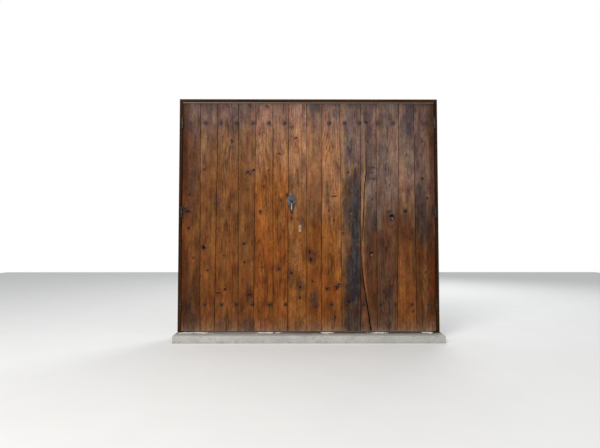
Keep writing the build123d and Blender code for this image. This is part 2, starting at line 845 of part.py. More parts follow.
def shoot_bolt(end_z, way):
    """A square bar with its knob. Its working end is at end_z and points up (way 1) or down (way -1)."""
    with BuildPart() as bar:
        with BuildSketch(Plane.XY.offset(end_z)):
            with Locations((bar_x, bar_y)):
                Rectangle(bar_w, bar_w)
        extrude(amount=-way * bar_l)
        chamfer(bar.faces().sort_by(Axis.Z)[-1 if way > 0 else 0].edges(), bar_lead)
        knob_z = end_z - way * (bar_l - knob_from_end)
        with BuildSketch(facing(bar_y)):
            with Locations((bar_x, knob_z)):
                Circle(knob_neck_r)
        extrude(amount=-(bar_w / 2 + knob_neck_l))
        with Locations((bar_x, bar_y + bar_w / 2 + knob_neck_l, knob_z)):
            Sphere(knob_r)
    return bar.part


def guide(middle_z, base_y):
    """A strap that holds the bar off the board, or off the ledge where base_y is the ledge's back."""
    hole = bar_w + 2 * bar_play
    crown_y = bar_y + hole / 2 + guide_wall
    legs_y = bar_y - hole / 2 - guide_wall
    with BuildPart() as strap:
        with BuildSketch(Plane.XY.offset(middle_z - guide_h / 2)):
            with Locations((bar_x, base_y + guide_base / 2)):
                Rectangle(hole + 2 * (guide_wall + guide_flange), guide_base)
            with Locations((bar_x, (base_y + crown_y) / 2)):
                Rectangle(hole + 2 * guide_wall, crown_y - base_y)
            with Locations((bar_x, bar_y)):
                Rectangle(hole, hole, mode=Mode.SUBTRACT)
            if legs_y > base_y:
                with Locations((bar_x, (base_y + legs_y) / 2)):
                    Rectangle(hole, legs_y - base_y, mode=Mode.SUBTRACT)
        extrude(amount=guide_h)
    return strap.part


def guides(end_z, way, ledge_z):
    """The three guides of one shoot bolt, the middle one on the ledge."""
    ends = (end_z - way * guide_from_end, end_z - way * (bar_l - guide_from_end))
    with BuildPart() as straps:
        for strap in [guide(z, board_t) for z in ends] + [guide(ledge_z, ledge_back)]:
            add(strap)
    return straps.part


# All pieces by name

pieces = {
    "sill": sill.part,
    "jamb_left": jamb(-1),
    "jamb_right": jamb(1),
    "head": head.part,
    "frame_pegs": copies(peg.part, [(x, 0, z) for side in (-1, 1) for x, z in peg_places(side)]),
    "bolt_keepers": bolt_keepers.part,
    "pull_plate": pull_plate.part,
    "pull_boss": pull_boss.part,
    "pull_nut": pull_nut.part,
    "pull_pin": pull_pin.part,
    "drop_pull": drop_pull.part,
    "escutcheon": escutcheon.part,
    "lock_cylinder": lock_cylinder.part,
    "lock_plug": lock_plug.part,
    "lock_case": lock_case.part,
    "lock_bolt": lock_bolt.part,
    "strike": strike.part,
    "top_bolt": shoot_bolt(stop_foot - bar_rest_gap, 1),
    "foot_bolt": shoot_bolt(bar_rest_gap, -1),
    "top_bolt_guides": guides(stop_foot - bar_rest_gap, 1, top_ledge_z),
    "foot_bolt_guides": guides(bar_rest_gap, -1, foot_ledge_z),
}

for number in range(1, boards_in_all + 1):
    pieces[f"board_{number:02d}"] = board(number)

for side, word in ((-1, "left"), (1, "right")):
    pieces[f"{word}_capping"] = capping(side)
    for place, middle_z in (("top", top_ledge_z), ("middle", middle_ledge_z), ("foot", foot_ledge_z)):
        pieces[f"{word}_ledge_{place}"] = ledge(side, middle_z)
    pieces[f"{word}_brace_lower"] = brace(side, foot_ledge_z + ledge_w / 2, middle_ledge_z - ledge_w / 2)
    pieces[f"{word}_brace_upper"] = brace(side, middle_ledge_z + ledge_w / 2, top_ledge_z - ledge_w / 2)
    bolt_spots = [(x, 0, z) for x, z in bolt_places(side)]
    pieces[f"{word}_coach_bolts"] = copies(coach_bolt.part, bolt_spots)
    pieces[f"{word}_nuts"] = copies(flange_nut.part, bolt_spots)
    pieces[f"{word}_ledge_screws"] = copies(ledge_screw.part, [(x, 0, z) for x, z in screw_places(side)])
    pieces[f"{word}_hinge_halves"] = copies(hinge_half(side, True), [(0, 0, z) for z in hinge_heights])

frame_halves = [copies(hinge_half(side, False), [(0, 0, z) for z in hinge_heights]) for side in (-1, 1)]
with BuildPart() as hinge_frame_halves:
    for half in frame_halves:
        add(half)
pieces["hinge_frame_halves"] = hinge_frame_halves.part
hinge_spots = [(side * hinge_x, hinge_y, z) for side in (-1, 1) for z in hinge_heights]
pieces["hinge_pins"] = copies(hinge_pin.part, hinge_spots)
pieces["hinge_washers"] = copies(hinge_washer.part, hinge_spots)

os.makedirs("parts", exist_ok=True)
for name, piece in pieces.items():
    on_sill = Pos(0, 0, sill_h) * piece
    on_sill.label = name
    export_step(on_sill, f"parts/{name}.step")
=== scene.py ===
import json
import math
from types import SimpleNamespace

import bpy
import numpy as np
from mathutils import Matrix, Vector


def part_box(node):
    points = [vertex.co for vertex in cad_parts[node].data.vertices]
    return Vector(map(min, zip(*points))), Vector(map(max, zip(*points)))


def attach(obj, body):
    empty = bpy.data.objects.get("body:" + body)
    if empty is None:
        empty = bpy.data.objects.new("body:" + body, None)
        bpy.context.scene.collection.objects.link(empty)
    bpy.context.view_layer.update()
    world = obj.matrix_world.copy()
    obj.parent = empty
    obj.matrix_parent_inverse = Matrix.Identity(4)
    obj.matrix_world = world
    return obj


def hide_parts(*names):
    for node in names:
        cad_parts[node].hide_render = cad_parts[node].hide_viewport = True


# Looks of a double-leaf barn door: reclaimed oak boards, dark timber frame, forged iron, granite sill.
# Blender works in metres. The boards' marks are given in mm: x, and height above the sill's top.

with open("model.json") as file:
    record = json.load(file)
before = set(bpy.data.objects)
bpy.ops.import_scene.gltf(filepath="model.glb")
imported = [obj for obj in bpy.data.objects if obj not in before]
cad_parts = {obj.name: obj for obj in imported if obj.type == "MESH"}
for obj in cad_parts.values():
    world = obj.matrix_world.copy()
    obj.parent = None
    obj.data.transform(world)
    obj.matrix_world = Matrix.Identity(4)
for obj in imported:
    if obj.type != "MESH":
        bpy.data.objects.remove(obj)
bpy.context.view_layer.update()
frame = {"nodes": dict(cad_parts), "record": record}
nodes = frame["nodes"]
bodies = frame["record"]["behaviour"]["bodies"]
body_of = {node: body for body, members in bodies.items() for node in members}
slot_of = {row["node"]: row["material_slot"] for row in frame["record"]["subparts"]}
scene = bpy.context.scene
SILL_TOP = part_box("sill")[1].z
MM = 0.001


# Camera and lamps

SKY = (0.97, 0.985, 1.0)
camera_data = bpy.data.cameras.new("camera")
camera_data.sensor_width = 36.0
camera_data.lens = 25.98
camera = bpy.data.objects.new("camera", camera_data)
camera.location = (-0.103, -4.329, SILL_TOP + 0.909)
camera.rotation_euler = (math.radians(92.15), 0.0, math.radians(-0.22))
scene.collection.objects.link(camera)
scene.camera = camera
scene.view_settings.view_transform = "Standard"


def area_light(name, location, target, size, power, color):
    data = bpy.data.lights.new(name, "AREA")
    data.shape = "DISK"
    data.size = size
    data.energy = power
    data.color = color
    lamp = bpy.data.objects.new(name, data)
    lamp.location = location
    lamp.rotation_mode = "QUATERNION"
    lamp.rotation_quaternion = (Vector(target) - lamp.location).to_track_quat("-Z", "Y")
    scene.collection.objects.link(lamp)


area_light("key", (-2.6, -5.2, 5.4), (0, 0, 1.1), 3.6, 330.0, (1.0, 0.985, 0.96))
area_light("back_fill", (2.4, 5.0, 4.6), (0, 0, 1.0), 4.0, 170.0, SKY)


# Node helpers. A value is a number, a colour or another node's output.


def linear(*srgb):
    """A tone given as 0 to 255 screen values, as linear RGBA."""
    parts = [v / 255 for v in srgb]
    return tuple(v / 12.92 if v <= 0.04045 else ((v + 0.055) / 1.055) ** 2.4 for v in parts) + (1.0,)


def is_output(value):
    return isinstance(value, bpy.types.NodeSocket)


def put(socket, value):
    if is_output(value):
        socket.id_data.links.new(value, socket)
    else:
        socket.default_value = value


def new_node(kind, inputs, **settings):
    """A node in the tree that its linked inputs come from."""
    tree = next(value.id_data for value in inputs.values() if is_output(value))
    node = tree.nodes.new(kind)
    for name, value in settings.items():
        setattr(node, name, value)
    for place, value in inputs.items():
        put(node.inputs[place], value)
    return node


def calculate(operation, *values, clamp=False):
    inputs = dict(enumerate(values))
    return new_node("ShaderNodeMath", inputs, operation=operation, use_clamp=clamp).outputs[0]


def times(first, second, clamp=False):
    return calculate("MULTIPLY", first, second, clamp=clamp)


def plus(base, part, share, clamp=False):
    """base with share of part added."""
    return calculate("MULTIPLY_ADD", part, share, base, clamp=clamp)


def vary(base, part, share, clamp=False):
    """base moved up and down by share of part, which is 0.5 on average."""
    return plus(base, calculate("SUBTRACT", part, 0.5), share, clamp)


def span(value, low, high, to_low=0.0, to_high=1.0):
    """value from low..high to to_low..to_high, smoothly, held at the ends."""
    inputs = dict(enumerate((value, low, high, to_low, to_high)))
    return new_node("ShaderNodeMapRange", inputs, interpolation_type="SMOOTHSTEP").outputs["Result"]


def mix(share, first, second, blend="MIX"):
    inputs = {0: share, 6: first, 7: second}
    return new_node("ShaderNodeMix", inputs, data_type="RGBA", blend_type=blend).outputs[2]


def dyed(color, red, green, blue):
    return mix(1.0, color, (red, green, blue, 1.0), "MULTIPLY")


class Look:
    """A node material and the textures in it."""

    def __init__(self, name, roughness, metallic=0.0, specular=0.5):
        self.material = bpy.data.materials.new(name)
        self.material.use_nodes = True
        self.nodes = self.material.node_tree.nodes
        self.shader = self.nodes["Principled BSDF"].inputs
        values = {"Roughness": roughness, "Metallic": metallic, "Specular IOR Level": specular}
        for place, value in values.items():
            put(self.shader[place], value)

    def attribute(self, name, output="Fac"):
        node = self.nodes.new("ShaderNodeAttribute")
        node.attribute_name = name
        return node.outputs[output]

    def place(self, stretch=1, source=None, turn=(0, 0, 0)):
        """Stretched coordinates, in the object's own frame unless a source is given."""
        if not isinstance(stretch, tuple):
            stretch = (stretch, stretch, stretch)
        if source is None:
            source = self.nodes.new("ShaderNodeTexCoord").outputs["Object"]
        turned = new_node("ShaderNodeMapping", {"Vector": source, "Rotation": turn}).outputs[0]
        return new_node("ShaderNodeVectorMath", {0: turned, 1: stretch}, operation="MULTIPLY").outputs[0]

    def noise(self, stretch, source=None, turn=(0, 0, 0), detail=3.0, roughness=0.5, distortion=0.0):
        inputs = {"Vector": self.place(stretch, source, turn), "Scale": 1.0, "Detail": detail}
        inputs |= {"Roughness": roughness, "Distortion": distortion}
        return new_node("ShaderNodeTexNoise", inputs).outputs["Fac"]

    def spots(self, stretch):
        return self.noise(stretch, detail=4, roughness=0.7)

    def cells(self, scale, stretch=1, source=None):
        inputs = {"Vector": self.place(stretch, source), "Scale": scale}
        return new_node("ShaderNodeTexVoronoi", inputs).outputs["Distance"]

    def height(self):
        """The object's own Z in metres."""
        return new_node("ShaderNodeSeparateXYZ", {0: self.place()}).outputs["Z"]

    def bump(self, height, strength, distance):
        inputs = {"Height": height, "Strength": strength, "Distance": distance}
        put(self.shader["Normal"], new_node("ShaderNodeBump", inputs).outputs["Normal"])

    def finish(self, color, roughness=None):
        put(self.shader["Base Color"], color)
        if roughness is not None:
            put(self.shader["Roughness"], roughness)
        return self.material


# World

WHITE = (1.0, 1.0, 1.0)


def make_world():
    """Soft sky light on the object, plain white for what the camera and the reflections see."""
    world = bpy.data.worlds.new("studio")
    scene.world = world
    world.use_nodes = True
    world_nodes = world.node_tree.nodes
    world_nodes.clear()
    rays = world_nodes.new("ShaderNodeLightPath").outputs
    seen = calculate("MAXIMUM", rays["Is Camera Ray"], rays["Is Glossy Ray"])
    inputs = {0: calculate("MAXIMUM", seen, rays["Is Transmission Ray"])}
    for place, (color, strength) in enumerate(((SKY, 0.55), (WHITE, 1.0)), 1):
        background = world_nodes.new("ShaderNodeBackground")
        put(background.inputs["Color"], (*color, 1.0))
        put(background.inputs["Strength"], strength)
        inputs[place] = background.outputs[0]
    new_node("ShaderNodeOutputWorld", {"Surface": new_node("ShaderNodeMixShader", inputs).outputs[0]})


make_world()


# Tones, as they look in daylight

TONES = {
    "rose": (132, 101, 86), "mauve": (108, 84, 76), "smoke": (116, 93, 84), "ash": (125, 101, 91),
    "plum": (104, 80, 72), "tan": (146, 102, 72), "fawn": (120, 82, 54), "straw": (156, 110, 78),
    "wheat": (136, 95, 68), "shell": (144, 112, 97), "hazel": (115, 72, 37), "bark": (91, 55, 32),
    "honey": (138, 84, 38), "amber": (130, 74, 30), "russet": (117, 68, 31), "umber": (94, 61, 41),
    "cocoa": (86, 50, 23), "chestnut": (102, 59, 27),
}
SAPWOOD = linear(160, 116, 78)
BLEACHED = linear(160, 130, 107)
NEAR_BLACK = linear(18, 13, 10)
RUST = linear(92, 66, 48)


# Timber

RING_TURN = 6.2832  # of the sine for one growth ring


def board_noises(look):
    """Noises stretched along the board's own bent grain."""
    grain = look.attribute("grain", "Vector")

    def noise(across, along, detail=3, roughness=0.6):
        return look.noise((across, across, along), grain, detail=detail, roughness=roughness)

    return SimpleNamespace(
        fibre=noise(260, 8),
        line=noise(105, 3.0, detail=2),
        streak=noise(36, 2.0),
        cloud=noise(16, 7, detail=4),
        fleck=noise(75, 30),
        fray=noise(170, 90),
        pores=noise(900, 30, detail=2, roughness=0.5),
        hue=noise(24, 9, detail=2, roughness=0.5),
        shake=noise(75, 2.4, detail=1, roughness=0.5),
        nail=look.cells(1.0, (26, 26, 9), grain),
    )


def grown_color(noises, tint, late, pore):
    """The board's tint with its rings, streaks, pores and patches of hue."""
    value = plus(0.60, late, -0.34)
    for name, share in (("fibre", 0.65), ("line", 0.65), ("streak", 0.8), ("cloud", 1.6), ("fleck", 0.8)):
        value = vary(value, getattr(noises, name), share)
    value = times(value, 1.0, clamp=True)
    color = mix(value, dyed(tint, 0.40, 0.33, 0.30), dyed(tint, 1.46, 1.50, 1.46))
    color = mix(times(pore, 0.4), color, NEAR_BLACK)
    reddish = span(noises.hue, 0.48, 0.66, 0.0, 0.85)
    color = mix(reddish, color, dyed(color, 1.07, 0.93, 1.0))
    yellowish = span(noises.hue, 0.50, 0.34, 0.0, 0.8)
    return mix(yellowish, color, dyed(color, 1.04, 1.10, 0.86))


def flawed_color(look, noises, tint, nail, color):
    """color with fine shakes, nail holes, knots and a painted highlight in some knot holes."""
    shake = calculate("ABSOLUTE", calculate("SUBTRACT", noises.shake, 0.5))
    shake = times(span(shake, 0.0, 0.012, 1.0, 0.0), span(noises.cloud, 0.52, 0.66))
    color = mix(times(shake, 0.55), color, NEAR_BLACK)
    color = mix(nail, color, NEAR_BLACK)
    frayed = vary(look.attribute("knot"), noises.fray, 11.0)
    halo = span(frayed, -1.0, 15.0, 0.6, 0.0)
    color = mix(halo, color, dyed(tint, 0.40, 0.28, 0.24))
    core = span(frayed, -2.0, 2.2, 0.9, 0.0)
    color = mix(core, color, NEAR_BLACK)
    return mix(look.attribute("filler"), color, linear(168, 164, 156))


def stained_color(look, noises, sky_sheen, color):
    """color under the stains, inky where they soaked in deepest, and tinted mauve high up by a painted sky
    sheen.
    """
    ragged = plus(calculate("ADD", noises.cloud, noises.streak), noises.line, 0.7)
    soaked = times(look.attribute("stain"), span(ragged, 1.02, 1.55, 0.5, 1.15))
    blotch = plus(plus(noises.cloud, noises.fleck, 0.5), noises.line, 0.6)
    stained = mix(span(blotch, 0.90, 1.26), linear(32, 33, 37), linear(66, 62, 57))
    # Painted sheen: high on the boards the stains take a mauve tint of sky reflection.
    stained = mix(times(sky_sheen, 0.5), stained, linear(66, 58, 70))
    color = mix(times(soaked, 1.0, clamp=True), color, mix(0.26, stained, color))
    inky = mix(span(blotch, 0.95, 1.25), linear(30, 32, 40), linear(62, 63, 68))
    return mix(span(soaked, 1.45, 2.2, 0.0, 0.7), color, inky)


def board_look():
    look = Look("reclaimed_oak", 0.5, specular=0.08)
    noises = board_noises(look)
    fibre = noises.fibre
    tint = look.attribute("tint", "Color")
    sky_sheen = look.attribute("sky_sheen")
    wave = plus(look.attribute("ring"), fibre, 0.5)
    rings = calculate("MULTIPLY_ADD", calculate("SINE", times(wave, RING_TURN)), 0.5, 0.5)
    late = calculate("POWER", rings, 2.5)
    pore = span(noises.pores, 0.34, 0.44, 1.0, 0.0)
    color = grown_color(noises, tint, late, pore)
    nail = span(vary(noises.nail, noises.fray, 0.12), 0.055, 0.10, 0.85, 0.0)
    nail = times(nail, span(noises.streak, 0.47, 0.56))
    color = flawed_color(look, noises, tint, nail, color)
    color = stained_color(look, noises, sky_sheen, color)
    # The cracks' slits are painted near-black: painted shade inside them.
    slit = vary(calculate("ABSOLUTE", look.attribute("crack")), noises.fray, 3.0)
    slit = calculate("SUBTRACT", slit, look.attribute("crack_width"))
    slit = span(slit, -0.6, 0.9, 0.95, 0.0)
    color = mix(slit, color, NEAR_BLACK)
    edge = vary(look.attribute("edge"), noises.fray, 6.0)
    edge = vary(edge, noises.cloud, 6.0)
    color = mix(span(edge, 0.0, 4.2, 0.62, 0.0), color, NEAR_BLACK)

    height = plus(plus(times(fibre, 0.9), pore, -0.8), late, 0.25)
    look.bump(plus(height, calculate("MAXIMUM", slit, nail), -2.0), 0.6, 0.0012)
    return look.finish(color, plus(span(fibre, 0.3, 0.7, 0.42, 0.60), sky_sheen, 0.14))


def timber_look(name, dark, light, turn=(0, 0, 0), roughness=0.55):
    """Sawn timber whose grain runs along Z before turn."""
    look = Look(name, roughness, specular=0.05)
    bent = look.noise((3, 3, 0.8), turn=turn, detail=1)
    fibre = look.noise((260, 260, 7), turn=turn, roughness=0.6)
    pores = look.noise((850, 850, 30), turn=turn, detail=2)
    streak = look.noise((30, 30, 1.2), turn=turn, distortion=0.4)
    cloud = look.noise((7, 7, 2.5), turn=turn, detail=2)
    rings = look.noise((95, 95, 2.2), turn=turn, detail=1, distortion=0.8)
    value = vary(times(bent, 0.9), streak, 1.3)
    value = vary(value, fibre, 0.7)
    value = vary(value, rings, 0.8)
    value = vary(value, cloud, 0.6, clamp=True)
    pore = span(pores, 0.34, 0.44, 1.0, 0.0)
    color = mix(times(pore, 0.4), mix(value, dark, light), NEAR_BLACK)
    look.bump(plus(fibre, pore, -0.8), 0.5, 0.0012)
    return look.finish(color, span(fibre, 0.3, 0.7, roughness - 0.08, roughness + 0.08))


# Metals and stone


def forged(look, dent_cells, mark_cells, share, low, high):
    """Dents, scale marks and where the metal is rubbed."""
    dents = look.noise(dent_cells, detail=2)
    scale_marks = look.noise(mark_cells, detail=4, roughness=0.65)
    return dents, scale_marks, span(plus(dents, scale_marks, share), low, high)


def iron_look():
    look = Look("black_iron", 0.5, metallic=0.55, specular=0.4)
    dents, scale_marks, rubbed = forged(look, 120, 420, 0.6, 0.72, 1.02)
    color = mix(rubbed, linear(38, 39, 43), linear(70, 73, 80))
    rust = span(look.spots(60), 0.58, 0.72, 0.0, 0.55)
    color = mix(rust, color, linear(70, 46, 34))
    look.bump(plus(dents, scale_marks, 0.35), 0.55, 0.0012)
    return look.finish(color, span(scale_marks, 0.3, 0.7, 0.36, 0.62))


def clouded_metal(look, stretch, dark, light, spots):
    """Colour of a metal with clouds and rust spots, and the cloud itself."""
    grain = look.noise(stretch, roughness=0.6)
    cloud = look.noise(26)
    value = plus(times(grain, 0.35), cloud, 0.7, clamp=True)
    color = mix(value, dark, light)
    if spots:
        color = mix(span(look.spots(95), 0.56, 0.68, 0.0, spots), color, RUST)
    look.bump(grain, 0.3, 0.0004)
    return color, cloud


def metal_look(name, dark, light, roughness, cells, metallic, spots, along):
    look = Look(name, roughness, metallic=metallic)
    stretch = (cells, cells, cells * along)
    color, cloud = clouded_metal(look, stretch, linear(*dark), linear(*light), spots)
    return look.finish(color, span(cloud, 0.3, 0.7, roughness - 0.08, roughness + 0.1))


def capping_look():
    """Weathered strip, darker along its lower edge; its tones are darkened partly as painted shade."""
    look = Look("capping_metal", 0.6, metallic=0.3, specular=0.4)
    tones = linear(84, 77, 66), linear(142, 132, 118)
    color, cloud = clouded_metal(look, (26, 260, 260), *tones, 0.4)
    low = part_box("left_capping")[0]
    height = vary(look.height(), cloud, 0.004)
    dark_low_edge = span(height, low.z + 0.003, low.z + 0.006, 0.85, 0.0)
    color = mix(dark_low_edge, color, linear(52, 44, 38))
    return look.finish(color, span(cloud, 0.3, 0.7, 0.52, 0.7))


def granite_look():
    look = Look("granite", 0.78, specular=0.3)
    cloud = look.noise((5, 5, 9), detail=4, roughness=0.6)
    mid = look.noise(45)
    speck = look.noise(240, roughness=0.7)
    mica = look.cells(170.0)
    color = mix(span(cloud, 0.3, 0.7), linear(172, 172, 168), linear(194, 193, 188))
    layers = (
        (span(mid, 0.35, 0.65, 0.0, 0.35), linear(158, 157, 150)),
        (span(look.noise(130, detail=2), 0.55, 0.66, 0.0, 0.45), linear(202, 190, 176)),
        (span(speck, 0.56, 0.68, 0.0, 0.55), linear(214, 214, 210)),
        (span(mica, 0.10, 0.22, 0.6, 0.0), linear(92, 90, 88)),
        (span(look.spots(14), 0.52, 0.72, 0.0, 0.5), linear(150, 140, 120)),
        (times(look.attribute("damp"), 0.25), linear(122, 114, 98)),
        # Painted shadow of the leaves on the sill's top.
        (look.attribute("sill_shadow"), linear(54, 35, 22)),
    )
    for share, tone in layers:
        color = mix(share, color, tone)
    flake = span(vary(look.attribute("flake"), speck, 0.8), 0.45, 0.6)
    color = mix(flake, color, linear(236, 234, 230))
    height = plus(times(speck, 0.5), mid, 0.8)
    look.bump(plus(height, flake, 0.5), 0.6, 0.003)
    return look.finish(color)


def plate_look():
    """The lozenge: painted reflection, blue-grey of the sky on its upper part and browner of the ground
    towards its foot.
    """
    look = Look("pull_plate_iron", 0.5, metallic=0.4, specular=0.4)
    dents, scale_marks, rubbed = forged(look, 110, 380, 0.7, 0.70, 1.05)
    sky_reflection = mix(rubbed, linear(52, 50, 54), linear(92, 89, 94))
    ground_reflection = mix(rubbed, linear(46, 33, 28), linear(80, 60, 50))
    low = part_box("pull_plate")[0]
    height = vary(look.height(), dents, 0.05)
    # Painted reflection: blue-grey of the sky above, brown of the ground below, split by height.
    color = mix(span(height, low.z + 0.07, low.z + 0.12), ground_reflection, sky_reflection)
    # A light band along the lower edge of the raised seat: a painted highlight, read from the worn
    # attribute.
    color = mix(times(look.attribute("worn"), 0.8), color, linear(150, 138, 130))
    look.bump(plus(dents, scale_marks, 0.4), 0.4, 0.001)
    return look.finish(color, span(scale_marks, 0.3, 0.7, 0.38, 0.6))


def bolt_look(name, dark, light):
    """Rust-browned bolt heads, dull where they were hammered, browner in the lower row."""
    look = Look(name, 0.55, metallic=0.15, specular=0.2)
    dents, scale_marks, rubbed = forged(look, 110, 420, 0.6, 0.66, 1.0)
    patch = span(look.noise(9, detail=1), 0.42, 0.58, 0.0, 0.6)
    color = mix(patch, mix(rubbed, dark, light), linear(58, 41, 31))
    low_row = span(look.height(), 1.0, 1.4, 0.95, 0.0)
    color = mix(low_row, color, mix(rubbed, linear(40, 22, 8), linear(78, 50, 24)))
    look.bump(plus(dents, scale_marks, 0.35), 0.6, 0.0012)
    return look.finish(color, span(scale_marks, 0.3, 0.7, 0.46, 0.66))


def drop_look():
    """Bright along its middle, a painted highlight that also stands for rubbing by fingers; brown at its tip
    and under the boss.
    """
    look = Look("drop_iron", 0.34, metallic=0.7, specular=0.4)
    dents = look.noise((160, 160, 60))
    low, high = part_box("drop_pull")
    height = vary(look.height(), dents, 0.02)
    # The bright band is a painted highlight, partly rubbing by fingers.
    rubbed = span(height, low.z + 0.018, low.z + 0.05)
    rubbed = times(rubbed, span(height, high.z - 0.020, high.z - 0.012, 1.0, 0.0))
    color = mix(rubbed, linear(70, 56, 50), linear(176, 166, 158))
    look.bump(dents, 0.3, 0.0008)
    return look.finish(color, span(dents, 0.3, 0.7, 0.26, 0.42))


# Which material each node gets. Grain runs along Z in the jambs, along X in the head and the ledges,
# along Y in the pegs and along their own slope in the braces.

ALONG_X = (0, math.radians(90), 0)
ALONG_Y = (math.radians(90), 0, 0)
BRACE_SLOPE_SHARE = 0.83  # of a brace's box width that its centre line crosses
# DARK_OAK is near black partly as painted shade: the frame and head take the darkness of the shade they
# stand in.
DARK_OAK = (linear(27, 15, 5), linear(74, 43, 13))
LEDGE_OAK = (linear(92, 60, 36), linear(150, 104, 64))
PEG_OAK = (linear(120, 86, 52), linear(176, 134, 88))

# Metals: dark and light tone, roughness, cells of the grain, metallic, rust spots, stretch along Z
METALS = {
    "zinc_steel": ((120, 122, 124), (178, 180, 182), 0.42, 300, 0.9, 0.4, 1.0),
    "hinge_steel": ((26, 20, 18), (54, 44, 40), 0.36, 320, 0.6, 0.4, 1.0),
    "washer_brass": ((140, 108, 54), (186, 150, 84), 0.42, 300, 0.9, 0.0, 1.0),
    "escutcheon_steel": ((112, 106, 94), (168, 160, 142), 0.45, 500, 0.6, 0.25, 0.06),
    "plug_brass": ((112, 92, 58), (158, 134, 90), 0.4, 420, 0.9, 0.0, 1.0),
    "boss_iron": ((20, 20, 24), (40, 41, 47), 0.36, 240, 0.5, 0.2, 1.0),
}


def brace_look(node):
    low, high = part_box(node)
    slope = math.atan2((high.x - low.x) * BRACE_SLOPE_SHARE, high.z - low.z)
    turn = (0, slope if node.startswith("right") else -slope, 0)
    return timber_look(node + "_timber", *LEDGE_OAK, turn=turn, roughness=0.6)


looks = {
    "oak_boards": board_look(),
    "frame_timber": timber_look("frame_timber", *DARK_OAK),
    "ledge_timber": timber_look("ledge_timber", *LEDGE_OAK, turn=ALONG_X, roughness=0.6),
    "peg_timber": timber_look("peg_timber", *PEG_OAK, turn=ALONG_Y),
    "granite": granite_look(),
    "capping_metal": capping_look(),
    "black_iron": iron_look(),
}
looks |= {name: metal_look(name, *row) for name, row in METALS.items()}
special = {
    "head": timber_look("head_timber", *DARK_OAK, turn=ALONG_X),
    "pull_plate": plate_look(),
    "pull_boss": looks["boss_iron"],
    "pull_pin": looks["boss_iron"],
    "drop_pull": drop_look(),
    "left_coach_bolts": bolt_look("left_bolt_iron", linear(44, 36, 31), linear(80, 71, 65)),
    "right_coach_bolts": bolt_look("right_bolt_iron", linear(58, 41, 38), linear(92, 72, 68)),
}
special |= {node: brace_look(node) for node in nodes if "brace" in node}


def look_of(node):
    return special.get(node, looks[slot_of[node]])


for name, node in nodes.items():
    for place in node.material_slots:
        place.material = look_of(name)


# Floor

FLOOR_REACH = 9.0


def make_floor():
    look = Look("floor", 0.9, specular=0.1)
    cloud = look.noise(3)
    look.finish(mix(cloud, (0.80, 0.80, 0.79, 1), (0.84, 0.84, 0.83, 1)))
    mesh = bpy.data.meshes.new("floor")
    corners = [(x * FLOOR_REACH, y * FLOOR_REACH, 0) for x, y in ((-1, -1), (1, -1), (1, 1), (-1, 1))]
    mesh.from_pydata(corners, [], [(0, 1, 2, 3)])
    mesh.materials.append(look.material)
    floor = bpy.data.objects.new("floor", mesh)
    scene.collection.objects.link(floor)


make_floor()


# Mesh helpers


def rise(value, low, high):
    """0 below low, 1 above high, smooth between."""
    share = np.clip((value - low) / (high - low), 0, 1)
    return share * share * (3 - 2 * share)


def fall(value, low, high):
    return 1 - rise(value, low, high)


def band(value, start, full, fading, end):
    """1 from full to fading, 0 before start and after end."""
    return rise(value, start, full) * fall(value, fading, end)


def lattice(x, z, cell_x, cell_z, seed):
    """Smooth noise from -1 to 1 with cells of cell_x by cell_z mm."""
    u, v = x / cell_x, z / cell_z
    i, j = np.floor(u).astype(int), np.floor(v).astype(int)
    a, b = u - i, v - j
    a, b = a * a * (3 - 2 * a), b * b * (3 - 2 * b)
    i, j = i - i.min(), j - j.min()
    table = np.random.default_rng(seed).uniform(-1, 1, (i.max() + 2, j.max() + 2))
    near = table[i, j] * (1 - a) + table[i + 1, j] * a
    far = table[i, j + 1] * (1 - a) + table[i + 1, j + 1] * a
    return near * (1 - b) + far * b


def wander(z, cell, seed):
    """The same noise, along the height only."""
    return lattice(z * 0, z, 1, cell, seed)


def spaced(values, least):
    """Values in order, each at least this far above the one before."""
    kept = [values[0]]
    for value in sorted(values)[1:]:
        if value - kept[-1] >= least:
            kept.append(value)
    return np.array(kept)


def beside_line(x, z, x0, z0, x1, z1):
    """Signed distance across a line and distance past its ends."""
    length = math.hypot(x1 - x0, z1 - z0)
    along = ((x - x0) * (x1 - x0) + (z - z0) * (z1 - z0)) / length
    beyond = np.maximum(np.maximum(-along, along - length), 0)
    return ((x - x0) * (z1 - z0) - (z - z0) * (x1 - x0)) / length, beyond


def add_piece(name, points, faces, node, sharp=40.0):
    """A new piece in place of a CAD node, from points in metres."""
    mesh = bpy.data.meshes.new(name)
    mesh.from_pydata(points.tolist(), [], faces)
    mesh.validate()
    mesh.shade_smooth()
    mesh.set_sharp_from_angle(angle=math.radians(sharp))
    mesh.materials.append(look_of(node))
    piece = bpy.data.objects.new(name, mesh)
    scene.collection.objects.link(piece)
    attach(piece, body_of[node])
    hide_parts(node)
    return piece


ATTRIBUTE_KINDS = {1: ("FLOAT", "value"), 3: ("FLOAT_VECTOR", "vector"), 4: ("FLOAT_COLOR", "color")}


def mark(piece, name, values, parts=1):
    """Writes values, of so many parts for each point, as an attribute that the material reads."""
    kind, field = ATTRIBUTE_KINDS[parts]
    layer = piece.data.attributes.new(name, kind, "POINT")
    layer.data.foreach_set(field, values.astype(np.float32).ravel())


def mesh_points(node):
    """A CAD node's points in mm."""
    return np.array([v.co for v in nodes[node].data.vertices]) / MM


def ring_faces(rows, ring, steps):
    """Quads from row to row of ring points each. With as many steps as rows, the last one closes."""
    point = np.arange(ring)
    ahead = (point + 1) % ring
    near = np.arange(steps)[:, None] * ring
    far = (near + ring) % (rows * ring)
    return np.stack([near + point, near + ahead, far + ahead, far + point], -1).reshape(-1, 4).tolist()
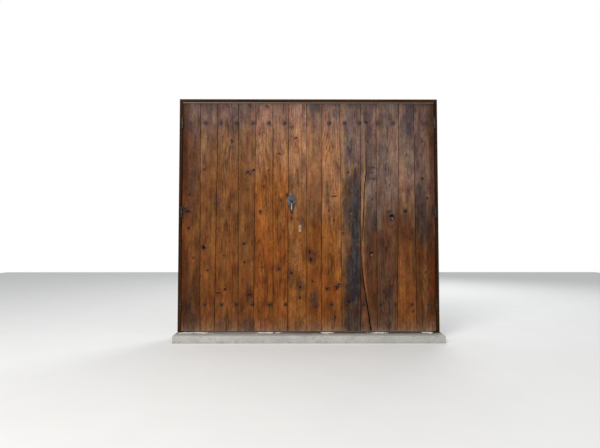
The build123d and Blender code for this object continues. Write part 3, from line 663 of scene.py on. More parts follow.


# Boards. Each has its tones at TONE_HEIGHTS, from the top down, then where the tree's heart lay
# (share of the width, depth behind the face) and the growth rings' width.

# The grey-mauve tones high up (plum, mauve, rose, shell, smoke, ash) are a painted sky reflection, a sheen
# on the boards' upper part.
TONE_HEIGHTS = (2200, 1800, 1450, 1000, 350)
BOARDS = {
    1: ("plum umber bark hazel cocoa", 1.4, 60, 8.0),
    2: ("plum fawn hazel hazel russet", -0.6, 50, 9.0),
    3: ("mauve fawn hazel hazel russet", 0.5, 70, 11.0),
    4: ("mauve fawn hazel hazel russet", 1.3, 45, 9.0),
    5: ("rose tan honey amber amber", 0.3, 80, 11.0),
    6: ("rose wheat honey amber amber", 0.6, 55, 10.0),
    7: ("shell straw fawn honey honey", 0.45, 35, 12.0),
    8: ("mauve tan fawn russet amber", 1.2, 70, 9.0),
    9: ("smoke straw tan honey amber", 0.4, 60, 11.0),
    10: ("smoke ash fawn fawn chestnut", 0.7, 50, 10.0),
    11: ("smoke mauve smoke umber bark", -0.4, 70, 9.0),
    12: ("smoke ash ash umber umber", 0.5, 65, 10.0),
    13: ("smoke ash rose bark amber", 1.2, 60, 9.0),
    14: ("plum plum mauve cocoa chestnut", 0.4, 80, 9.0),
}

# Knots: x, height, half width, half height
KNOTS = {
    1: ((-1212, 1199, 15, 15), (-1198, 1029, 9, 10), (-1232, 1226, 9, 10), (-1186, 1192, 6, 6),
        (-1150, 735, 6, 8), (-1194, 1366, 7, 8)),
    2: ((-1047, 837, 15, 16), (-1045, 1622, 6, 9), (-1098, 1150, 5, 14), (-1010, 610, 6, 7)),
    3: ((-771, 1908, 10, 14), (-832, 422, 9, 10), (-895, 385, 12, 6), (-846, 760, 5, 6)),
    4: ((-611, 1592, 13, 13), (-551, 1612, 14, 8), (-588, 1570, 6, 6), (-648, 874, 14, 9),
        (-589, 368, 14, 7), (-640, 690, 7, 9), (-560, 300, 9, 7)),
    5: ((-419, 2262, 7, 10), (-484, 1195, 11, 12), (-450, 1450, 8, 7), (-401, 1612, 4, 12),
        (-462, 640, 6, 8)),
    6: ((-292, 1779, 9, 6), (-275, 1307, 5, 12), (-300, 625, 7, 8), (-218, 1363, 8, 12), (-196, 2282, 6, 7)),
    7: ((-126, 1939, 9, 9), (-172, 2054, 9, 5), (-172, 583, 10, 11), (-87, 444, 11, 9), (-171, 1128, 6, 22),
        (-87, 340, 8, 9)),
    8: ((22, 718, 11, 15), (70, 242, 8, 9), (10, 792, 7, 16), (40, 500, 7, 8)),
    9: ((284, 446, 13, 11), (303, 470, 9, 8), (276, 424, 7, 9), (201, 1202, 6, 7), (185, 426, 9, 7),
        (255, 1350, 14, 6), (254, 1112, 4, 26), (259, 138, 6, 34)),
    10: ((398, 1588, 9, 10), (418, 1202, 9, 11), (470, 1138, 9, 9), (343, 981, 7, 7), (493, 495, 9, 7),
        (398, 300, 16, 14), (478, 1300, 7, 9)),
    11: ((627, 777, 10, 13), (640, 1320, 5, 8), (596, 1905, 5, 8), (583, 2098, 11, 16)),
    12: ((838, 1147, 22, 23), (806, 1194, 8, 8), (776, 1625, 6, 20), (830, 1116, 6, 7)),
    13: ((973, 1195, 14, 16), (987, 1770, 5, 7), (1040, 206, 7, 9)),
    14: ((1144, 1529, 8, 11), (1192, 1332, 8, 9), (1145, 1909, 5, 6), (1170, 590, 6, 9)),
}

# Which of a board's knots has fallen out and left a hole
HOLES = {2: 0, 3: 1, 11: 0, 12: 0, 13: 0}

# Cracks: half width, then points of x and height
CRACKS = {
    3: ((1.9, (-774, 1900), (-790, 1830), (-806, 1716)),),
    4: ((1.4, (-648, 874), (-600, 885), (-545, 908)), (1.0, (-640, 700), (-600, 705), (-560, 728)),
        (1.2, (-611, 1592), (-575, 1600), (-540, 1618)), (1.6, (-543, 1490), (-552, 1400), (-541, 1330)),
        (2.2, (-534, 640), (-538, 480), (-533, 360))),
    5: ((0.9, (-484, 1195), (-470, 1260)), (0.8, (-450, 1450), (-425, 1462))),
    6: ((1.0, (-330, 640), (-275, 655)), (1.0, (-325, 610), (-268, 618)),
        (1.1, (-275, 1340), (-277, 1290), (-273, 1240))),
    7: ((1.1, (-166, 583), (-120, 600)), (1.2, (-130, 470), (-50, 440)), (1.0, (-150, 1160), (-148, 1050))),
    8: ((1.3, (10, 830), (8, 770), (22, 700)), (1.0, (60, 380), (66, 250))),
    9: ((1.0, (262, 395), (290, 450), (318, 492)), (0.9, (175, 410), (200, 440)),
        (1.0, (235, 1345), (285, 1352)), (1.0, (254, 1180), (255, 1060)), (1.6, (259, 200), (260, 80)),
        (1.2, (270, 430), (310, 480))),
    10: ((0.9, (470, 520), (505, 498)), (1.7, (396, 1970), (391, 1890), (399, 1800)),
        (1.5, (430, 1940), (437, 1850), (428, 1780)), (1.6, (408, 1850), (421, 1780), (404, 1715)),
        (1.3, (452, 1900), (461, 1820), (455, 1735))),
    11: ((1.0, (577, 2040), (572, 1930), (580, 1830)),),
    12: ((1.2, (783, 2250), (786, 1900), (780, 1640)), (2.0, (806, 560), (803, 380), (805, 160), (801, 20))),
    14: ((0.9, (1184, 1980), (1192, 1700), (1188, 1500)),),
}

# Dark stains, and on board 3 at (-800, 1775) a painted shadow along its crack: x, height, half width, half
# height, strength
STAINS = {
    1: ((-1200, 300, 70, 380, 0.12), (-1190, 120, 100, 150, 0.4), (-1165, 1500, 30, 160, 0.4),
        (-1225, 1210, 45, 60, 0.35)),
    2: ((-1012, 2230, 26, 60, 0.75), (-1075, 2183, 30, 30, 0.3), (-990, 2160, 20, 120, 0.35),
        (-925, 1302, 26, 80, 0.55)),
    3: ((-742, 2193, 32, 60, 0.75), (-905, 1310, 30, 70, 0.6), (-800, 1775, 9, 75, 1.0),
        (-830, 70, 110, 60, 0.35), (-760, 1850, 30, 90, 0.25)),
    4: ((-590, 1600, 52, 26, 0.55), (-640, 880, 30, 30, 0.4), (-575, 330, 50, 50, 0.45),
        (-590, 60, 80, 80, 0.7), (-600, 480, 40, 60, 0.25)),
    5: ((-419, 2250, 18, 30, 0.5), (-484, 1195, 24, 30, 0.35)),
    6: ((-275, 1290, 18, 60, 0.3), (-278, 1110, 70, 120, 0.22), (-300, 630, 44, 40, 0.3)),
    7: ((-60, 1640, 24, 150, 0.45), (-84, 1126, 46, 26, 0.6), (-70, 1092, 30, 30, 0.5),
        (-178, 560, 34, 140, 0.5), (-88, 455, 56, 56, 0.6), (-100, 345, 30, 30, 0.35)),
    8: ((60, 2250, 60, 60, 0.6), (35, 2030, 26, 60, 0.35), (112, 1190, 28, 90, 0.6),
        (36, 735, 46, 70, 0.62), (62, 325, 46, 100, 0.5), (68, 270, 26, 50, 0.7), (50, 60, 70, 40, 0.2)),
    9: ((275, 2180, 34, 60, 0.6), (300, 1900, 18, 120, 0.25), (290, 460, 40, 36, 0.5),
        (185, 430, 26, 24, 0.4)),
    10: ((446, 1240, 97, 370, 1.12), (448, 470, 98, 320, 1.35), (468, 1130, 40, 460, 2.7),
        (456, 560, 60, 330, 2.5), (430, 1950, 70, 330, 0.42), (470, 2200, 36, 120, 0.4),
        (446, 120, 97, 200, 1.1), (398, 1800, 16, 60, 0.9), (428, 1860, 13, 70, 0.9),
        (452, 1720, 15, 70, 0.7)),
    11: ((600, 2180, 46, 120, 0.6), (606, 2010, 30, 110, 0.7), (600, 1760, 24, 260, 0.5),
        (628, 1640, 50, 12, 1.0), (626, 1588, 46, 10, 0.9), (628, 1528, 50, 16, 1.0),
        (592, 1570, 14, 110, 0.7), (600, 1060, 60, 200, 0.35), (664, 1105, 32, 120, 1.0),
        (570, 300, 20, 60, 0.35)),
    12: ((770, 2150, 60, 140, 0.35), (740, 1700, 40, 300, 0.35), (776, 1620, 26, 80, 0.4),
        (820, 1160, 56, 66, 0.5), (720, 640, 50, 500, 0.26), (806, 320, 50, 160, 0.5),
        (760, 110, 90, 110, 0.35)),
    13: ((1022, 2140, 52, 190, 1.3), (985, 2080, 60, 110, 0.75), (973, 1195, 36, 36, 0.4),
        (1050, 600, 20, 400, 0.3), (1060, 250, 30, 90, 0.45)),
    14: ((1130, 1180, 56, 330, 0.75), (1200, 1050, 60, 260, 0.4), (1200, 2200, 60, 80, 0.3),
        (1130, 120, 40, 120, 0.25)),
}

# Pale strips of sapwood: x, height, half width, half height, strength
PALE = {
    2: ((-1062, 1930, 34, 170, 0.8), (-1088, 1700, 16, 280, 1.0)),
    5: ((-346, 1300, 12, 900, 0.35), (-430, 1900, 40, 260, 0.3)),
    7: ((-150, 1400, 30, 500, 0.35), (-176, 1042, 22, 90, 0.7), (-115, 760, 44, 170, 0.6)),
    9: ((200, 1560, 60, 300, 0.3), (300, 820, 24, 260, 0.45)),
    10: ((332, 1900, 26, 400, 1.0), (348, 1600, 20, 80, 0.9), (334, 850, 12, 820, 0.6)),
    11: ((541, 830, 12, 250, 1.1), (548, 110, 20, 150, 0.4)),
    12: ((700, 2120, 14, 200, 0.5), (870, 1750, 40, 330, 0.25)),
    13: ((930, 1500, 16, 420, 0.45), (930, 500, 40, 260, 0.3)),
    14: ((1165, 420, 30, 330, 0.45), (1190, 1800, 24, 300, 0.25)),
}

# Round figures of grain about a grown-over branch: x, height, half width, half height
EYES = {
    4: ((-600, 420, 34, 60),),
    7: ((-110, 900, 40, 90), (-100, 560, 44, 70), (-160, 760, 30, 60)),
    8: ((67, 315, 34, 66),),
    9: ((270, 470, 40, 60),),
    12: ((780, 400, 40, 90),),
}

# Painted highlights in knot holes: x, height, half width, strength
HOLE_GLINTS = {
    10: ((418, 1176, 6, 0.85),),
    11: ((629, 764, 6, 0.85),),
    12: ((841, 1131, 10, 1.0),),
    13: ((975, 1183, 8, 0.4),),
}

THICK = 30.0
TONGUE = (9.0, 11.0, 19.0)  # reach, and depths where it starts and ends
GROOVE = (8.0, 19.5, 10.5)
NO_TONGUE = (7, 14)
NO_GROOVE = (1, 8)
MEETING_LAP = {7: (0, 1.45), 8: (1.45, 0)}  # that a worn meeting edge stands out past the planed one
GRID_ROWS = 330
LEAST_ROW = 2.0
COLUMN_STEP = 4.6
LEAST_COLUMN = 0.0032  # share of the width
EDGE_COLUMNS = (0.0, 0.7, 1.6, 2.8, 4.5, 7.0)
EDGE_BAND = 10
EDGE_BACK = 1.5  # that the outermost front points stand back at least
BIG_KNOT = 9  # half width from which a knot gets its own grid lines
KNOT_LINES = (-1.05, -0.8, -0.4, 0.0, 0.4, 0.8, 1.05)  # in half sizes of the knot
KNOT_LOBES = ((2, 0.16), (3, 0.12), (5, 0.09))  # count round the knot, and size
HOLE_DEEP = 11.0
HOLE_REACH = 40.0
BACK_COLUMNS = np.array((0.9, 0.7, 0.5, 0.3, 0.1))
SPLIT_BOARD = 11
SPLIT_THROUGH = 660  # height up to which the split goes right through the board
SPLIT_PROFILE = ((0.5, 0.0), (0.42, 0.8), (0.25, 1.0), (-0.25, 1.0), (-0.42, 0.8), (-0.5, 0.0))
PIVOT = 0.35  # the split's place in the row of grid lines
PIVOT_CLEAR = 0.012  # that the other grid lines keep from it


def bolt_places():
    """X and height of the coach bolts' heads, read from the CAD bolts."""
    places = set()
    for side in ("left", "right"):
        co = mesh_points(f"{side}_coach_bolts")
        crown = co[co[:, 1] < co[:, 1].min() + 0.05]
        places.update((round(x), round(z - SILL_TOP / MM)) for x, _, z in crown)
    return sorted(places)


BOLTS = bolt_places()


def board_ends(number):
    """Heights of foot and top and the edges there, in mm, read from the CAD board."""
    co = mesh_points(f"board_{number:02d}")
    co[:, 2] -= SILL_TOP / MM
    foot, top = co[:, 2].min(), co[:, 2].max()
    back = co[np.abs(co[:, 1] - THICK) < 0.01]
    lap_low, lap_high = MEETING_LAP.get(number, (0, 0))
    ends = []
    for z in (foot, top):
        row = back[np.abs(back[:, 2] - z) < 0.01, 0]
        ends.append((row.min() - lap_low, row.max() + lap_high))
    return foot, top, *ends


def edges_at(z, foot, top, foot_edges, top_edges):
    share = (z - foot) / (top - foot)
    return [foot_x + (top_x - foot_x) * share for foot_x, top_x in zip(foot_edges, top_edges)]


def board_grid(number, ends):
    """Heights of the grid's rows and shares of its columns, closer at the edges and the knots."""
    foot, top, foot_edges, _ = ends
    wide = foot_edges[1] - foot_edges[0]
    outer = [v / wide for v in EDGE_COLUMNS]
    across = outer + list(np.linspace(EDGE_BAND / wide, 1 - EDGE_BAND / wide, int(wide / COLUMN_STEP)))
    across += [1 - v for v in outer]
    heights = list(np.linspace(foot, top, GRID_ROWS))
    for x, z, half_w, half_h in KNOTS[number]:
        if half_w >= BIG_KNOT:
            low, high = edges_at(z, *ends)
            heights += [z + step * half_h for step in KNOT_LINES]
            across += [(x + step * half_w - low) / (high - low) for step in KNOT_LINES]
    heights = spaced([foot] + [h for h in heights if foot < h < top], LEAST_ROW)
    heights[-1] = top
    across = spaced([0.0] + [a for a in across if 0 < a < 1] + [1.0], LEAST_COLUMN)
    across[-1] = 1.0
    return heights[:, None], across


def split_line(heights):
    """Share of the width, opening, depth and sidestep of the split at each height."""
    bends = (0, 305, 513, 655, 985, 1473, 1594, 1817, 2300)
    share = np.interp(heights, bends, (0.634, 0.347, 0.151, 0.072, 0.112, 0.257, 0.331, 0.332, 0.332))
    stops = (0, 305, 513, 655, 760, 900, 985, 1473, 1594, 1817, 1818)
    opening = np.interp(heights, stops, (9.5, 7.0, 5.0, 2.5, 0, 0, 1.5, 3.5, 3.5, 1.2, 0))
    deep = np.interp(heights, (0, 600, 660, 900, 985, 1817, 1860), (14, 14, 6, 0, 9, 9, 0))
    return share, opening, deep, wander(heights, 26, 4) * np.minimum(opening, 3.0) * 0.6


def split_columns(heights, across, low, width):
    """The split board's front, with the depth of the split's walls, and its back."""
    where, opening, deep, jog = split_line(heights)
    before = across * where / PIVOT
    after = where + (across - PIVOT) * (1 - where) / (1 - PIVOT)
    plain_x = low + np.where(across < PIVOT, before, after) * width
    half, down = np.array(SPLIT_PROFILE).T
    worn = np.where(np.abs(half) == 0.5, 0.8, 0.1) * np.sign(half)
    split_x = low + where * width + jog - half * opening - worn
    left_x = np.minimum(plain_x[:, across < PIVOT - PIVOT_CLEAR], split_x[:, :1] - 0.3)
    right_x = np.maximum(plain_x[:, across > PIVOT + PIVOT_CLEAR], split_x[:, -1:] + 0.3)
    front_x = np.concatenate([left_x, split_x, right_x], 1)
    lip = np.concatenate([left_x * 0, deep * down, right_x * 0], 1)
    back_y = THICK - deep * (heights < SPLIT_THROUGH) * down
    return front_x, lip, split_x[:, ::-1], back_y[:, ::-1]


def oval(x, z, mid_x, mid_z, half_w, half_h):
    """Distance from an oval's middle, 1 on its outline."""
    return np.hypot((x - mid_x) / half_w, (z - mid_z) / half_h)


def knot_marks(number, x, z, warped):
    """Distance outside the nearest knot, the grain pushed aside by it, and its cracks."""
    rng = np.random.default_rng(900 + number)
    knot = np.full(x.shape, 200.0)
    cracks = []
    for mid_x, mid_z, half_w, half_h in KNOTS[number]:
        turn = np.arctan2((z - mid_z) / half_h, (x - mid_x) / half_w)
        phases = rng.uniform(0, 6.28, 3)
        out = oval(x, z, mid_x, mid_z, half_w, half_h)
        out *= 1 + sum(size * np.sin(n * turn + phase) for (n, size), phase in zip(KNOT_LOBES, phases))
        knot = np.minimum(knot, (out - 1) * min(half_w, half_h))
        push = np.exp(-oval(x, z, mid_x, mid_z, 2.4 * half_w + 8, 3.2 * half_h + 24) ** 2)
        warped = warped - (x - mid_x) * 0.85 * push
        for _ in range(2 if half_w > 8 else 1):
            angle = rng.choice((0.0, 3.14)) + rng.uniform(-0.6, 0.6)
            reach = rng.uniform(1.1, 2.1) * max(half_w, half_h)
            tip = (mid_x + reach * math.cos(angle), mid_z + reach * math.sin(angle))
            cracks.append((0.8, (mid_x, mid_z), tip))
    return knot, warped, cracks


def surface_marks(number, x, z):
    """Marks at each point of a board's face: distances from lines and knots, and strengths."""

    def noise(cell_x, cell_z, seed):
        return lattice(x, z, cell_x, cell_z, number + seed)

    def sway(cell, seed):
        return wander(z, cell, number + seed)

    warped = x + 2.5 * sway(310, 130) + 2.5 * noise(60, 240, 140)
    knot, warped, knot_cracks = knot_marks(number, x, z, warped)
    lines = [(half, p, q) for half, *points in CRACKS.get(number, ()) for p, q in zip(points, points[1:])]
    crack, crack_width = np.full(x.shape, 50.0), np.full(x.shape, -9.0)
    uneven = 0.62 + 0.55 * noise(21, 17, 172)
    bent = x + 1.5 * sway(30, 170) + 1.2 * sway(9, 174)
    for half, start, end in lines + knot_cracks:
        signed, beyond = beside_line(bent, z, *start, *end)
        closer = (np.abs(signed) + beyond < np.abs(crack)) & (beyond < 12) & (np.abs(signed) < 24)
        crack = np.where(closer, signed, crack)
        crack_width = np.where(closer, half * uneven - 0.35 * beyond, crack_width)

    stain, pale, filler, eye = np.zeros((4, *x.shape))
    blurred = 0.2 * noise(14, 20, 180)
    dripping = 0.3 * noise(9, 40, 190)
    for bolt_x, bolt_z in BOLTS:
        out = oval(x, z, bolt_x, bolt_z - 5, 29, 33) + blurred
        stain = np.maximum(stain, (0.9 if bolt_z > 1000 else 0.6) * fall(out, 0.65, 1.2))
        out = oval(x, z, bolt_x, bolt_z - 45, 15, 60) + dripping
        stain = np.maximum(stain, 0.35 * fall(out, 0.4, 1.1))
    ragged = 0.20 * noise(26, 80, 150) + 0.12 * noise(9, 34, 155)
    for mid_x, mid_z, half_w, half_h, strength in STAINS.get(number, ()):
        out = np.abs((x - mid_x) / half_w) ** 2.6 + np.abs((z - mid_z) / half_h) ** 2.6
        stain = np.maximum(stain, strength * fall(out ** (1 / 2.6) + ragged, 0.68, 1.15))
    ragged = 0.15 * noise(16, 120, 160)
    for *place, strength in PALE.get(number, ()):
        pale = np.maximum(pale, strength * fall(oval(x, z, *place) + ragged, 0.6, 1.2))
    # Pale spots in the knot holes: painted highlights.
    for mid_x, mid_z, half, strength in HOLE_GLINTS.get(number, ()):
        filler = np.maximum(filler, strength * np.exp(-oval(x, z, mid_x, mid_z, half, half) ** 2))
    ragged = 0.12 * noise(20, 40, 165)
    for place in EYES.get(number, ()):
        eye = np.maximum(eye, np.exp(-((oval(x, z, *place) + ragged) ** 2)))
    marks = {"knot": knot, "stain": stain, "pale": pale, "filler": filler, "eye": eye}
    return SimpleNamespace(crack=crack, crack_width=crack_width, warped=warped, **marks)


def split_marks(marks, heights, x, z, low, width):
    """Marks along the split: its dark line, painted shade in the split, and the pale strips beside it."""
    where, opening, _, jog = split_line(heights)
    offset = x - low - where * width - jog
    near = (np.abs(offset) < 20) & (opening > 0)
    marks.crack = np.where(near, offset, marks.crack)
    marks.crack_width = np.where(near, opening / 2 + 2.4, marks.crack_width)
    left_band = band(offset, -34, -26, -4, 0) * band(z, 1000, 1080, 2040, 2120)
    left_band *= np.interp(z, (1380, 1440, 1680, 1760, 1960), (0.75, 1.05, 1.05, 0.4, 0.6))
    right_band = 0.6 * band(offset, 2, 6, 18, 34) * band(z, 1040, 1100, 1400, 1480)
    low_band = 0.75 * band(offset, -2, 4, 14, 34) * band(z, 200, 480, 700, 1000)
    for strip in (left_band, right_band, low_band):
        marks.pale = np.maximum(marks.pale, strip)


def front_relief(number, x, z, low, high):
    """Depth of a board's worn face behind the planed one."""
    corner = 2.8 + 1.2 * wander(z, 60, number) + 0.7 * wander(z, 17, number + 50)
    inside = np.clip(1 - np.minimum(x - low, high - x) / corner, 0, 1)
    y = corner * (1 - np.sqrt(np.clip(1 - inside**2, 0, 1)))
    for height, cell_x, cell_z, seed in ((0.4, 70, 600, 10), (0.25, 16, 260, 20), (0.14, 9, 70, 30)):
        y += height * lattice(x, z, cell_x, cell_z, number + seed)
    knot = surface_marks(number, x, z).knot
    y += 0.8 * np.exp(-((knot / 5.0) ** 2)) * lattice(x, z, 12, 12, number + 40)
    y -= 0.5 * np.exp(-(((knot - 9) / 8.0) ** 2))
    if number in HOLES:
        hole_x, hole_z = KNOTS[number][HOLES[number]][:2]
        y += HOLE_DEEP * fall(knot, -4.0, -0.3) * (np.hypot(x - hole_x, z - hole_z) < HOLE_REACH)
    return np.maximum(y, -0.6)


def board_tone(number, x, z, marks):
    """Tint of the bare wood at each point, as RGBA."""

    def noise(cell_x, cell_z, seed):
        return lattice(x, z, cell_x, cell_z, number + seed)

    swayed = z + 130 * noise(34, 240, 90) + 60 * noise(15, 90, 95)
    keys = np.array([linear(*TONES[tone]) for tone in BOARDS[number][0].split()])
    tone = np.stack([np.interp(swayed, TONE_HEIGHTS[::-1], keys[::-1, i]) for i in range(3)], -1)
    patches = 0.15 * noise(30, 260, 100) + 0.13 * noise(48, 120, 110) + 0.10 * noise(17, 60, 115)
    tone *= 1 + patches[..., None]
    tone *= 1 + 0.08 * noise(40, 200, 120)[..., None] * (1, -0.3, -1)
    # Painted shade under the head and the capping: the boards darken towards their top, more strongly and
    # towards blue on the right leaf.
    capping_shadow = rise(z, 2262, 2291) * np.where(x < -20, 0.26, 0.20)
    darker = (
        (rise(z + 20 * noise(40, 30, 105), 2215, 2290), (0.2, 0.2, 0.2)),
        (marks.eye, (0.3, 0.3, 0.3)),
        (capping_shadow + (x > -20) * 0.14 * rise(z, 2225, 2291), (1.0, 0.85, 0.55)),
        # Darker and more saturated towards the jambs: partly wood sheltered from the weather, partly painted
        # shade of the reveal. The next line darkens the outer edges higher up, as painted shade.
        (rise(np.abs(x) + 8 * noise(20, 160, 128), 1165, 1235), (0.18, 0.36, 0.5)),
        (rise(np.abs(x), 1185, 1262) * rise(z, 1300, 1900), (0.5, 0.5, 0.5)),
    )
    for share, by in darker:
        tone *= 1 - share[..., None] * by
    pale = (0.8 * marks.pale)[..., None]
    tone = tone * (1 - pale) + (0.45 * tone + 0.65 * np.array(SAPWOOD[:3])) * pale
    splashed = np.maximum(z + 14 * noise(22, 14, 125), 0)
    bleached = (np.where(x < 0, 0.76, 0.92) * np.exp(-splashed / 56))[..., None]
    tone = tone * (1 - bleached) + np.array(BLEACHED[:3]) * bleached
    return np.concatenate([tone, np.ones_like(tone[..., :1])], -1)


def growth_rings(number, x, y, z, low, width, marks):
    """Count of the growth rings from the tree's heart to each point."""
    _, heart, heart_depth, ring_width = BOARDS[number]
    heart_x = low + heart * width + 9 * wander(z, 420, number + 60)
    lean = (z - 1150) * (0.035 if number % 2 else -0.035)
    depth = heart_depth + y + lean + 12 * lattice(x, z, 55, 340, number + 70)
    count = np.hypot(marks.warped - heart_x, depth) / ring_width
    count += 1.6 * np.exp(-((marks.knot / 10.0) ** 2)) + 0.3 * lattice(x, z, 14, 120, number + 80)
    return count + 4.5 * marks.eye


def joint_columns(edge, reach, start, end):
    return [(edge, start), (edge + reach, start), (edge + reach, end), (edge, end)]


def make_board(number):
    ends = board_ends(number)
    heights, across = board_grid(number, ends)
    low, high = edges_at(heights, *ends)
    width = high - low
    if number == SPLIT_BOARD:
        x, lip, back_x, back_y = split_columns(heights, across, low, width)
    else:
        x, lip = low + across * width, 0.0
        back_x, back_y = low + width * BACK_COLUMNS, THICK
    y = front_relief(number, x, heights + 0 * x, low, high) + lip
    y[:, [0, -1]] = np.maximum(y[:, [0, -1]], EDGE_BACK)

    lap_low, lap_high = MEETING_LAP.get(number, (0, 0))
    right = [(high, THICK / 2)] if number in NO_TONGUE else joint_columns(high, *TONGUE)
    left = [(low, THICK / 2)] if number in NO_GROOVE else joint_columns(low, *GROOVE)
    right += [(high - lap_high / 2, THICK - 1), (high - lap_high / 2 - 1, THICK)]
    left = [(low + lap_low / 2 + 1, THICK), (low + lap_low / 2, THICK - 1)] + left
    columns = [(x, y), *right, (back_x, back_y), *left]
    x = np.concatenate([column for column, _ in columns], 1)
    y = np.concatenate([depth + 0 * column for column, depth in columns], 1)
    z = heights + 0 * x
    rows, ring = x.shape
    points = np.stack([x, y, z + SILL_TOP / MM], -1).reshape(-1, 3) * MM
    faces = ring_faces(rows, ring, rows - 1)
    faces += [list(range(ring - 1, -1, -1)), list(range((rows - 1) * ring, rows * ring))]
    piece = add_piece(f"plank_{number:02d}", points, faces, f"board_{number:02d}")

    marks = surface_marks(number, x, z)
    if number == SPLIT_BOARD:
        split_marks(marks, heights, x, z, low, width)
    from_front = rise(y, 6, 14)
    edge = np.minimum(np.abs(x - low), np.abs(high - x))
    edge = np.where(y > 4, np.where(y < 28, 1.0, 12.0), edge)
    grain = np.stack([marks.warped, y + number * 370, z + number * 910], -1) * MM
    mark(piece, "grain", grain, 3)
    mark(piece, "ring", growth_rings(number, x, y, z, low, width, marks))
    mark(piece, "knot", marks.knot)
    mark(piece, "filler", marks.filler * (y < 20))
    mark(piece, "crack", marks.crack)
    mark(piece, "crack_width", marks.crack_width - 30 * rise(y, 19, 26))
    mark(piece, "stain", marks.stain * (1 - 0.8 * from_front))
    # Mask of the painted sky sheen on the boards' upper faces; it also raises the roughness there.
    mark(piece, "sky_sheen", rise(z, 1250, 2150) * (1 - from_front))
    mark(piece, "edge", edge)
    mark(piece, "tint", board_tone(number, x, z, marks), 4)


for number in BOARDS:
    make_board(number)


# Sill: a dressed granite block, worn and chipped along its front

SILL_STEP = 9.0
ARRIS_ROUND = 7.0
POCKET_DEEP = 4.0
SOCKET_DEEP = 34.0
SOCKET_HALF = 10.0

# Where lime has flaked off onto the sill: x, half length
FLAKES = ((-1200, 90), (-1060, 120), (-410, 140), (190, 80), (690, 110), (1175, 80))


def closed_grid(xs, ys, zs, filled):
    """Points and faces round the filled cells of a grid."""
    shape = (len(xs), len(ys), len(zs))
    index = np.arange(np.prod(shape)).reshape(shape)
    pad = np.pad(filled, 1)
    faces = []
    for axis in range(3):
        layers = np.moveaxis(pad, axis, 0)
        before, after = layers[:-1, 1:-1, 1:-1], layers[1:, 1:-1, 1:-1]
        grid = np.moveaxis(index, axis, 0)
        for wanted, flip in ((before & ~after, False), (after & ~before, True)):
            i, j, k = np.nonzero(wanted)
            quad = [grid[i, j, k], grid[i, j + 1, k], grid[i, j + 1, k + 1], grid[i, j, k + 1]]
            if flip != (axis == 1):
                quad = quad[::-1]
            faces.append(np.stack(quad, 1))
    faces = np.concatenate(faces)
    used, packed = np.unique(faces, return_inverse=True)
    spread = np.meshgrid(xs, ys, zs, indexing="ij")
    points = np.stack([v.ravel()[used] for v in spread], 1)
    return points, packed.reshape(faces.shape)


def sill_block(low, high):
    """Points and faces of the block, with the keeper's pocket and the bolt's socket cut in."""
    keeper = [np.array(corner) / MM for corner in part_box("bolt_keepers")]
    middle = (keeper[0] + keeper[1]) / 2

    def cuts(axis):
        return [keeper[0][axis], keeper[1][axis], middle[axis] - SOCKET_HALF, middle[axis] + SOCKET_HALF]

    front = low[1]
    xs = spaced([*np.arange(low[0], high[0], SILL_STEP), high[0], *cuts(0)], 0.5)
    ys = [front, front + 1.2, front + 3.5, front + ARRIS_ROUND]
    ys += [*np.arange(front + 14, high[1] - 4, SILL_STEP), high[1], *cuts(1)]
    ys = spaced(ys, 0.5)
    zs = [*np.linspace(low[2], -12, 8), -SOCKET_DEEP, -ARRIS_ROUND, -POCKET_DEEP, -3.5, -1.2, 0.0]
    zs = spaced(zs, 0.3)
    cells = np.meshgrid(*(0.5 * (v[1:] + v[:-1]) for v in (xs, ys, zs)), indexing="ij")
    in_pocket = cells[2] > -POCKET_DEEP
    in_socket = cells[2] > -SOCKET_DEEP
    for axis in (0, 1):
        in_pocket &= (cells[axis] > keeper[0][axis]) & (cells[axis] < keeper[1][axis])
        in_socket &= np.abs(cells[axis] - middle[axis]) < SOCKET_HALF
    return closed_grid(xs, ys, zs, ~(in_pocket | in_socket))


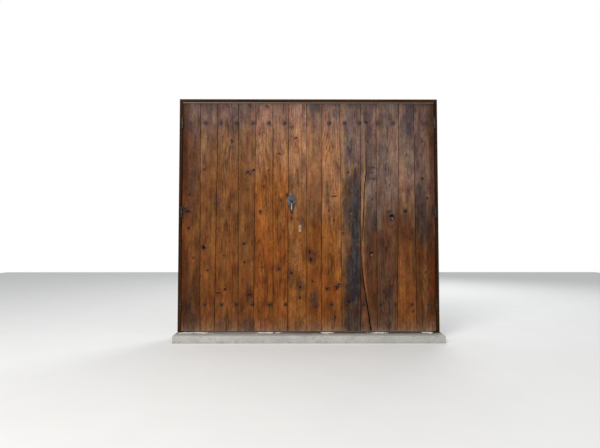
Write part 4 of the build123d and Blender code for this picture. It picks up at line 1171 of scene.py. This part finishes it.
def make_sill():
    low, high = (np.array(corner) / MM - [0, 0, SILL_TOP / MM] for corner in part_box("sill"))
    points, faces = sill_block(low, high)
    x, y, z = points.T.copy()
    on_face, on_top = y < low[1] + 0.1, z > -0.1
    front = fall(y, low[1] + 1, low[1] + 9)
    arris = front * rise(z, -9, -1)
    behind = low[1] + ARRIS_ROUND
    corner = np.hypot(np.maximum(behind - y, 0), np.maximum(z + ARRIS_ROUND, 0))
    shrink = np.where(corner > ARRIS_ROUND, ARRIS_ROUND / np.maximum(corner, 1e-6), 1)
    shrink = np.where((y < behind) & (z > -ARRIS_ROUND), shrink, 1)
    y = behind - (behind - y) * shrink
    z = (z + ARRIS_ROUND) * shrink - ARRIS_ROUND

    def along(cell, seed):
        return lattice(x, 0 * x, cell, 1, seed)

    chips = rise(along(38, 7) + 0.6 * along(13, 8), 0.45, 1.1)
    worn = 1.2 + 1.1 * lattice(x, z, 90, 50, 1) + 0.7 * lattice(x, z, 22, 18, 2)
    y += on_face * (worn + 0.4 * lattice(x, z, 9, 9, 3))
    y += arris * (7.0 * chips + 1.0)
    z -= arris * (6.0 * chips + 1.5 + 1.2 * along(60, 9))
    trodden = 0.9 + 0.8 * lattice(x, y, 120, 60, 5) + 0.35 * lattice(x, y, 20, 20, 6)
    z -= on_top * fall(y, -30, -8) * trodden
    points = np.stack([x, y, z + SILL_TOP / MM], 1) * MM
    sill = add_piece("granite_sill", points, faces.tolist(), "sill", sharp=55.0)

    near_top = (z > -3) * 1.0
    ragged = 12 * lattice(x, y, 60, 30, 12)
    # Painted shadow on the sill's top: dark under the leaves and fading forward in front of them, stronger
    # to the right.
    leaf_shadow = 0.94 * rise(y + 0.5 * ragged, -9, 0)
    front_shadow = 0.5 * rise(y + ragged, -175, -40) + 0.44 * rise(x, -700, 200) * rise(y + ragged, -85, -30)
    flakes = np.full(x.shape, -1.0)
    for flake_x, half in FLAKES:
        flakes = np.maximum(flakes, 1 - oval(x, y, flake_x, -30, half, 45))
    flakes += 0.45 * lattice(x, y, 34, 22, 14) + 0.25 * lattice(x, y, 13, 9, 15)
    mark(sill, "damp", fall(z, low[2], low[2] + 22) * front)
    mark(sill, "sill_shadow", near_top * np.maximum(leaf_shadow, front_shadow) * fall(y, 60, 90))
    mark(sill, "flake", near_top * rise(flakes, 0.1, 0.45) * fall(y, -8, 0))


make_sill()


# Lozenge plate of the pull: forged, with a raised seat under the boss

PLATE_TURNS = 145
PLATE_RIM = 1.5
PLATE_CROWN = 3.5
RIM_WIDE = 14
SEAT_HIGH = 1.7


def plate_outline():
    """Middle of the plate's hole, its radius, and the outline's corners round it, from the CAD plate."""
    co = mesh_points("pull_plate")
    back = co[np.abs(co[:, 1]) < 0.01][:, [0, 2]]
    mid_x, mid_z = 0.5 * (back.min(0) + back.max(0))
    in_hole = (np.abs(back[:, 0] - mid_x) < 7) & (np.abs(back[:, 1] - mid_z) < 30)
    hole_z = back[in_hole, 1]
    middle = np.array((mid_x, 0.5 * (hole_z.min() + hole_z.max())))
    corners = np.unique(np.round(back[~in_hole] - middle, 2), axis=0)
    corners = corners[np.argsort(np.arctan2(corners[:, 1], corners[:, 0]))]
    return middle, 0.5 * (hole_z.max() - hole_z.min()), corners


def make_plate():
    (mid_x, mid_z), hole_r, corners = plate_outline()
    angles = np.arctan2(corners[:, 1], corners[:, 0])
    turn = [*np.linspace(-math.pi, math.pi, PLATE_TURNS)[:-1], *angles]
    turn = spaced(sorted(turn), 0.004)
    outer = np.interp(turn, angles, np.hypot(*corners.T), period=2 * math.pi)
    steps = np.sort([*np.linspace(0, 1, 22), 0.985, 0.965])
    radius = hole_r + (outer - hole_r) * steps[:, None]
    x, z = radius * np.cos(turn), radius * np.sin(turn)
    rim = np.full(x.shape, 99.0)
    for start, end in zip(np.roll(corners, 1, 0), corners):
        rim = np.minimum(rim, np.hypot(*beside_line(x, z, *start, *end)))
    high = PLATE_RIM + PLATE_CROWN * np.clip(rim / RIM_WIDE, 0, 1)
    above = z - 10
    seat = np.abs(x) / 42 + np.where(above > 0, above / 70, -above / 40)
    high += SEAT_HIGH * fall(seat, 0.90, 1.02)
    high += (0.35 * lattice(x, z, 9, 9, 31) + 0.2 * lattice(x, z, 5, 5, 32)) * np.clip(rim / 3, 0, 1)
    rows = [(x[i], -high[i], z[i]) for i in range(len(steps))]
    rows += [(x[-1], -0.3, z[-1]), (x[-1] * 0.995, 0, z[-1] * 0.995), (x[0], 0, z[0])]
    rows = [np.stack([row_x, row_y + 0 * turn, row_z], 1) for row_x, row_y, row_z in rows]
    points = (np.concatenate(rows) + [mid_x, 0, mid_z]) * MM
    faces = ring_faces(len(rows), len(turn), len(rows))
    plate = add_piece("forged_lozenge", points, faces, "pull_plate", sharp=50.0)
    # The worn band along the seat's lower edge marks a painted highlight.
    worn = band(seat, 0.84, 0.94, 1.0, 1.08) * (above < 0)
    mark(plate, "worn", np.concatenate([worn.ravel(), np.zeros(len(points) - worn.size)]))


make_plate()
